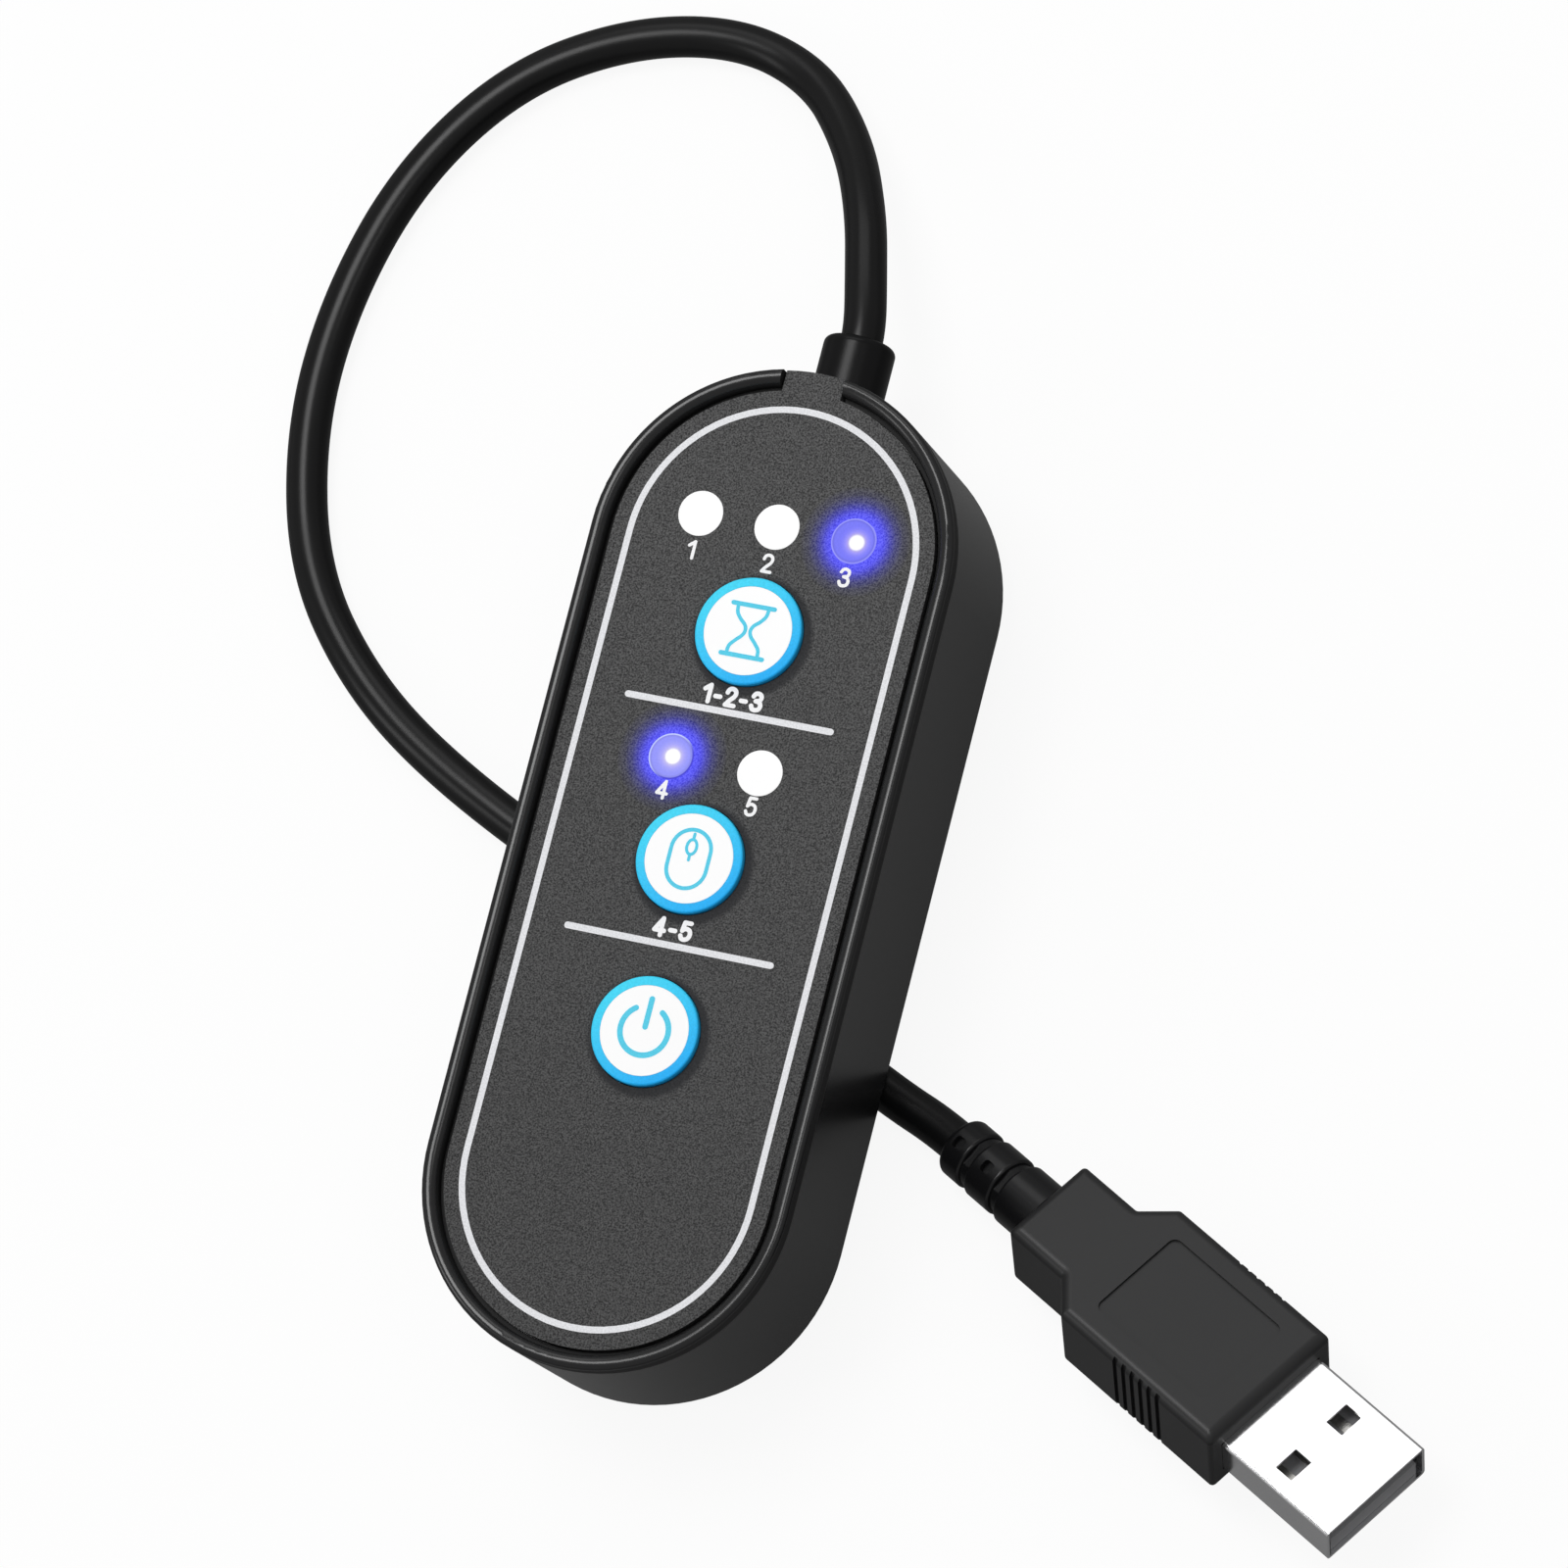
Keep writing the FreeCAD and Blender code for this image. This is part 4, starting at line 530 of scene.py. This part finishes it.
MATERIALS = {
    "housing_tub": case_plastic(),
    "front_panel": panel_paint(),
    "plug_overmould": overmould_plastic(),
    "cord_boot": boot_rubber,
    "cord_tail": rubber,
    "usb_shell": metal("shell_nickel", (0.86, 0.86, 0.87), 0.16),
    "usb_contacts": metal("contact_nickel", (0.62, 0.61, 0.58), 0.3, brush=(1, 10, 10)),
    "usb_tongue": moulded(
        "tongue_plastic", (0.30, 0.30, 0.31), 0.5, spread=0.05, specular=0.3
    ),
    "circuit_board": board_mask(),
    "controller_chip": chip_black,
    "resistors": chip_black,
    "chip_legs": tinned,
    "switch_legs": tinned,
    "crystal_can": metal("can_steel", (0.74, 0.74, 0.75), 0.2, brush=(1, 1, 12)),
    "filter_capacitors": metal(
        "capacitor_aluminium", (0.72, 0.72, 0.73), 0.32, brush=(12, 1, 1)
    ),
    "board_screws": metal("screw_steel", (0.62, 0.62, 0.62), 0.3),
    "red_wire": moulded("wire_red", (0.55, 0.02, 0.02), 0.35),
    "white_wire": moulded("wire_white", (0.80, 0.80, 0.80), 0.35, spread=0.02),
    "green_wire": moulded("wire_green", (0.02, 0.36, 0.07), 0.35),
    "black_wire": moulded("wire_black", (0.015, 0.015, 0.015), 0.35),
}
for button, place in BUTTONS.items():
    MATERIALS[f"{button}_button_cap"] = ring_blue(button, place)
    MATERIALS[f"{button}_button_disc"] = white
    MATERIALS[f"{button}_switch"] = switch_black
    MATERIALS[f"{button}_switch_plunger"] = switch_black
for window in WINDOWS:
    MATERIALS[window] = lit_window(window) if window in LAMP_SPOTS else window_white
    MATERIALS[window.replace("window", "lamp")] = lamp_clear
for name, material in MATERIALS.items():
    mesh = nodes[name].data
    mesh.materials.clear()
    mesh.materials.append(material)


# ---- cord: one smooth tube along its route, from the boot to the plug ----


def make_cord():
    curve = bpy.data.curves.new("cord_jacket", "CURVE")
    curve.dimensions = "3D"
    spline = curve.splines.new("NURBS")
    spline.points.add(len(CORD_ROUTE) - 1)
    for point, place in zip(spline.points, CORD_ROUTE):
        point.co = (*(Vector(place) * MM), 1.0)
    spline.order_u = 3
    spline.use_endpoint_u = True
    spline.resolution_u = 16
    curve.bevel_depth = CORD_DIAMETER / 2 * MM
    curve.bevel_resolution = 8
    curve.use_fill_caps = True
    cord = bpy.data.objects.new("cord_jacket", curve)
    show(cord)
    curve.materials.append(rubber)
    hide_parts("cord")
    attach(cord, "housing")


make_cord()


# ---- printed figures: thin bands of ink on the panel and on the button discs ----

CAP_STEPS = 8


def arc_points(center, radius, first, last, steps):
    """Points on an arc; angles in degrees."""
    turn = [math.radians(first + (last - first) * i / steps) for i in range(steps + 1)]
    return [
        Vector((center[0] + radius * math.cos(a), center[1] + radius * math.sin(a))) for a in turn
    ]


def smooth_points(points, steps=8):
    """A smooth line through the points (Catmull-Rom)."""
    points = [Vector(p) for p in points]
    padded = [2 * points[0] - points[1], *points, 2 * points[-1] - points[-2]]
    line = []
    for a, b, c, d in zip(padded, padded[1:], padded[2:], padded[3:]):
        for i in range(steps):
            t = i / steps
            line.append(
                0.5 * (2 * b + (c - a) * t + (2 * a - 5 * b + 4 * c - d) * t**2
                       + (3 * b - 3 * c + d - a) * t**3)
            )
    return line + [points[-1]]


def band(bm, points, width, level, closed=False):
    """A flat band of ink along a line, with rounded ends; level is the height it lies on."""
    points = [Vector(p) for p in points]
    count = len(points)
    side_shade_share = []
    for i, point in enumerate(points):
        before = points[i - 1] if closed or i else point
        after = points[(i + 1) % count] if closed or i < count - 1 else point
        run = (after - before).normalized()
        side_shade_share.append(Vector((-run.y, run.x)) * width / 2)
    left = [p + s for p, s in zip(points, side_shade_share)]
    right = [p - s for p, s in zip(points, side_shade_share)]

    def corner(place, up):
        return bm.verts.new((place.x * MM, place.y * MM, (level + up) * MM))

    def layer(up):
        return [corner(p, up) for p in left], [corner(p, up) for p in right]

    top_left, top_right = layer(PRINT_THICKNESS)
    low_left, low_right = layer(-PRINT_SUNK)
    spans = range(count) if closed else range(count - 1)
    for i in spans:
        j = (i + 1) % count
        bm.faces.new((top_right[i], top_right[j], top_left[j], top_left[i]))
        bm.faces.new((top_left[i], top_left[j], low_left[j], low_left[i]))
        bm.faces.new((low_right[i], low_right[j], top_right[j], top_right[i]))
    if closed:
        return
    for end, sign in ((0, 1), (count - 1, -1)):
        start = side_shade_share[end] * sign
        fan = [
            points[end] + Matrix.Rotation(math.pi * k / CAP_STEPS, 2) @ start
            for k in range(1, CAP_STEPS)
        ]
        first, last = (top_left, top_right) if sign > 0 else (top_right, top_left)
        low_first, low_last = (low_left, low_right) if sign > 0 else (low_right, low_left)
        rim = [first[end], *[corner(p, PRINT_THICKNESS) for p in fan], last[end]]
        low = [low_first[end], *[corner(p, -PRINT_SUNK) for p in fan], low_last[end]]
        bm.faces.new(rim)
        for a, b, c, d in zip(rim, rim[1:], low[1:], low):
            bm.faces.new((b, a, d, c))


def ink(name, bands, level, material, body):
    """One printed piece of bands (points, width, closed), each a step above the one before."""
    bm = bmesh.new()
    for i, (points, width, closed) in enumerate(bands):
        band(bm, points, width, level + PRINT_STEP * i, closed)
    bmesh.ops.recalc_face_normals(bm, faces=bm.faces)
    mesh = bpy.data.meshes.new(name)
    bm.to_mesh(mesh)
    bm.free()
    mesh.materials.append(material)
    piece = bpy.data.objects.new(name, mesh)
    show(piece)
    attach(piece, body)


def stadium(radius, half_run, steps=40):
    """A closed line of two half circles and two straight runs."""
    return arc_points((0, half_run), radius, 0, 180, steps) + arc_points(
        (0, -half_run), radius, 180, 360, steps
    )


outline = [(stadium(OUTLINE_RADIUS, OUTLINE_HALF_RUN), OUTLINE_WIDTH, True)]
ink("panel_outline", outline, PANEL_TOP, silver_print, "housing")
for name, place in DIVIDERS.items():
    run = [(-DIVIDER_HALF_LENGTH, place), (DIVIDER_HALF_LENGTH, place)]
    line = [(run, DIVIDER_WIDTH, False)]
    ink(name, line, PANEL_TOP, silver_print, "housing")

# A digit is its width and its strokes, straight where they have two points, for a height of 1.
DIGITS = {
    "-": (0.30, [[(0.0, 0.40), (0.30, 0.40)]]),
    "1": (0.34, [[(0.0, 0.74), (0.32, 1.0)], [(0.32, 1.0), (0.32, 0.0)]]),
    "2": (0.56, [
        [(0.02, 0.74), (0.09, 0.92), (0.28, 1.0), (0.47, 0.92), (0.54, 0.74), (0.46, 0.53),
         (0.22, 0.27), (0.03, 0.0)],
        [(0.03, 0.0), (0.56, 0.0)],
    ]),
    "3": (0.56, [
        [(0.03, 0.80), (0.12, 0.95), (0.28, 1.0), (0.46, 0.93), (0.52, 0.76), (0.44, 0.60),
         (0.22, 0.54)],
        [(0.22, 0.54), (0.46, 0.48), (0.56, 0.28), (0.48, 0.07), (0.27, 0.0), (0.10, 0.05),
         (0.01, 0.22)],
    ]),
    "4": (0.60, [
        [(0.42, 1.0), (0.0, 0.28)],
        [(0.0, 0.28), (0.60, 0.28)],
        [(0.42, 1.0), (0.42, 0.0)],
    ]),
    "5": (0.56, [
        [(0.50, 1.0), (0.12, 1.0)],
        [(0.12, 1.0), (0.05, 0.50)],
        [(0.05, 0.50), (0.16, 0.61), (0.32, 0.64), (0.50, 0.55), (0.56, 0.33), (0.47, 0.09),
         (0.26, 0.0), (0.09, 0.05), (0.01, 0.20)],
    ]),
}


def numbers(name, text, place, height, weight):
    """Plain numbers on the panel; place is their middle and weight is the stroke's width."""
    tall = height - weight
    gap = 1.35 * weight
    run = sum(DIGITS[sign][0] * tall for sign in text) + gap * (len(text) - 1)
    left = place[0] - run / 2
    bands = []
    for sign in text:
        width, strokes = DIGITS[sign]
        for stroke in strokes:
            spots = [Vector((left + x * tall, place[1] + (y - 0.5) * tall)) for x, y in stroke]
            line = spots if len(spots) == 2 else smooth_points(spots)
            bands.append((line, weight, False))
        left += width * tall + gap
    ink(name, bands, PANEL_TOP, white_print, "housing")


for figure, (window, (across, up)) in enumerate(WINDOWS.items(), start=1):
    place = (across, up - WINDOW_NUMBER_DROPS[window.split("_")[0]])
    numbers(f"{window}_number", str(figure), place, WINDOW_NUMBER_HEIGHT, WINDOW_NUMBER_WEIGHT)
for button, (text, place) in BUTTON_NUMBERS.items():
    numbers(
        f"{button}_numbers", text, (0.0, place), BUTTON_NUMBER_HEIGHT, BUTTON_NUMBER_WEIGHT
    )


def hourglass(place):
    glass_line, bar_line, bar_reach = 0.34, 0.42, 1.97
    side = smooth_points(
        [(1.47, 2.30), (1.36, 1.55), (0.95, 0.98), (0.42, 0.50), (0.24, 0.0),
         (0.42, -0.50), (0.95, -1.05), (1.38, -1.60), (1.47, -2.33)]
    )
    right = [p + Vector((0, place)) for p in side]
    left = [Vector((-p.x, p.y)) for p in right]
    glass = [(line, glass_line, False) for line in (right, left)]
    bars = [
        ([(-bar_reach, place + y), (bar_reach, place + y)], bar_line, False)
        for y in (2.33, -2.37)
    ]
    return glass + bars


def pointer_mouse(place):
    body_line, wheel_line = 0.36, 0.28
    wheel_place, wheel_half_width, wheel_half_height, stub_end = place + 1.06, 0.46, 0.68, 1.2
    body = [p + Vector((0, place - 0.05)) for p in stadium(1.86, 0.83, 24)]
    turn = [2 * math.pi * i / 32 for i in range(32)]
    wheel = [
        Vector((wheel_half_width * math.cos(a), wheel_place + wheel_half_height * math.sin(a)))
        for a in turn
    ]
    stubs = [
        ([(0, wheel_place + s * wheel_half_height), (0, wheel_place + s * stub_end)],
         wheel_line, False)
        for s in (1, -1)
    ]
    return [(body, body_line, True), (wheel, wheel_line, True), *stubs]


def power_sign(place):
    sign_line = 0.52
    ring = arc_points((0, place), 2.24, 124, 416, 48)
    bar = [(0, place + 0.33), (0, place + 2.90)]
    return [(ring, sign_line, False), (bar, sign_line, False)]


for button, draw in (("time", hourglass), ("mode", pointer_mouse), ("power", power_sign)):
    figure = draw(BUTTONS[button])
    ink(f"{button}_figure", figure, CAP_TOP, icon_blue, f"{button}_button")


# ---- studio ----

FLOOR_REACH = 3.0
# Seen by the camera, the floor is white and glows, and keeps the object's shadow. Other rays
# meet a darker floor, so that it throws little light back on the black pieces.
FLOOR_TONE_SEEN = 0.9
FLOOR_TONE_UNSEEN = 0.12
FLOOR_GLOW_SEEN = 0.91
FLOOR_GLOW_MIRRORED = 0.1
WORLD_LIGHT = 0.4


def make_floor():
    mesh = bpy.data.meshes.new("floor")
    bm = bmesh.new()
    bmesh.ops.create_grid(bm, x_segments=1, y_segments=1, size=FLOOR_REACH)
    bm.to_mesh(mesh)
    bm.free()
    floor = bpy.data.objects.new("floor", mesh)
    floor.location = (0, 0, FLOOR * MM)
    show(floor)
    material = new_material("floor_white", (0.9, 0.9, 0.9), 0.8, specular=0.1)
    shader = shader_of(material)
    glow = add(material, "ShaderNodeEmission")
    ray = add(material, "ShaderNodeLightPath").outputs
    seen = ray["Is Camera Ray"]
    shade = remap(material, seen, 0.0, 1.0, FLOOR_TONE_UNSEEN, FLOOR_TONE_SEEN)
    link(material, shade, shader.inputs["Base Color"])
    mirrored = maths(material, "ADD", ray["Is Glossy Ray"], ray["Is Transmission Ray"])
    share = maths(
        material,
        "ADD",
        maths(material, "MULTIPLY", seen, FLOOR_GLOW_SEEN),
        maths(material, "MULTIPLY", mirrored, FLOOR_GLOW_MIRRORED),
    )
    mix = add(material, "ShaderNodeMixShader")
    link(material, share, mix.inputs["Fac"])
    link(material, shader.outputs["BSDF"], mix.inputs[1])
    link(material, glow.outputs["Emission"], mix.inputs[2])
    output = material.node_tree.nodes["Material Output"]
    link(material, mix.outputs["Shader"], output.inputs["Surface"])
    mesh.materials.append(material)


def area_light(name, place, aim, size, power):
    """A rectangular lamp; size is its width and height, in metres, and power is in watts."""
    light = bpy.data.lights.new(name, "AREA")
    light.energy = power
    light.shape = "RECTANGLE"
    light.size, light.size_y = size
    lamp = bpy.data.objects.new(name, light)
    lamp.location = place
    lamp.rotation_euler = (Vector(aim) - Vector(place)).to_track_quat("-Z", "Y").to_euler()
    show(lamp)


def make_world():
    """White behind the object; an even pale light on it."""
    world = bpy.data.worlds.new("studio")
    bpy.context.scene.world = world
    world.use_nodes = True
    sky = world.node_tree.nodes["Background"]
    sky.inputs["Color"].default_value = (1, 1, 1, 1)
    seen = add(world, "ShaderNodeLightPath").outputs["Is Camera Ray"]
    link(world, remap(world, seen, 0.0, 1.0, WORLD_LIGHT, 1.0), sky.inputs["Strength"])


make_floor()
area_light("key", (-0.13, 0.145, 0.67), (0, 0, 0), (0.3, 0.3), 2.2)
area_light("back", (-0.13, 0.62, 0.49), (0, 0, 0), (0.6, 0.3), 0.75)
area_light("right", (0.345, 0.045, 0.61), (0, 0, 0), (0.16, 0.16), 0.24)
area_light("left", (-0.5, -0.26, 0.38), (0.04, -0.03, 0), (0.12, 0.3), 0.45)
make_world()
bpy.context.scene.view_settings.view_transform = "Standard"
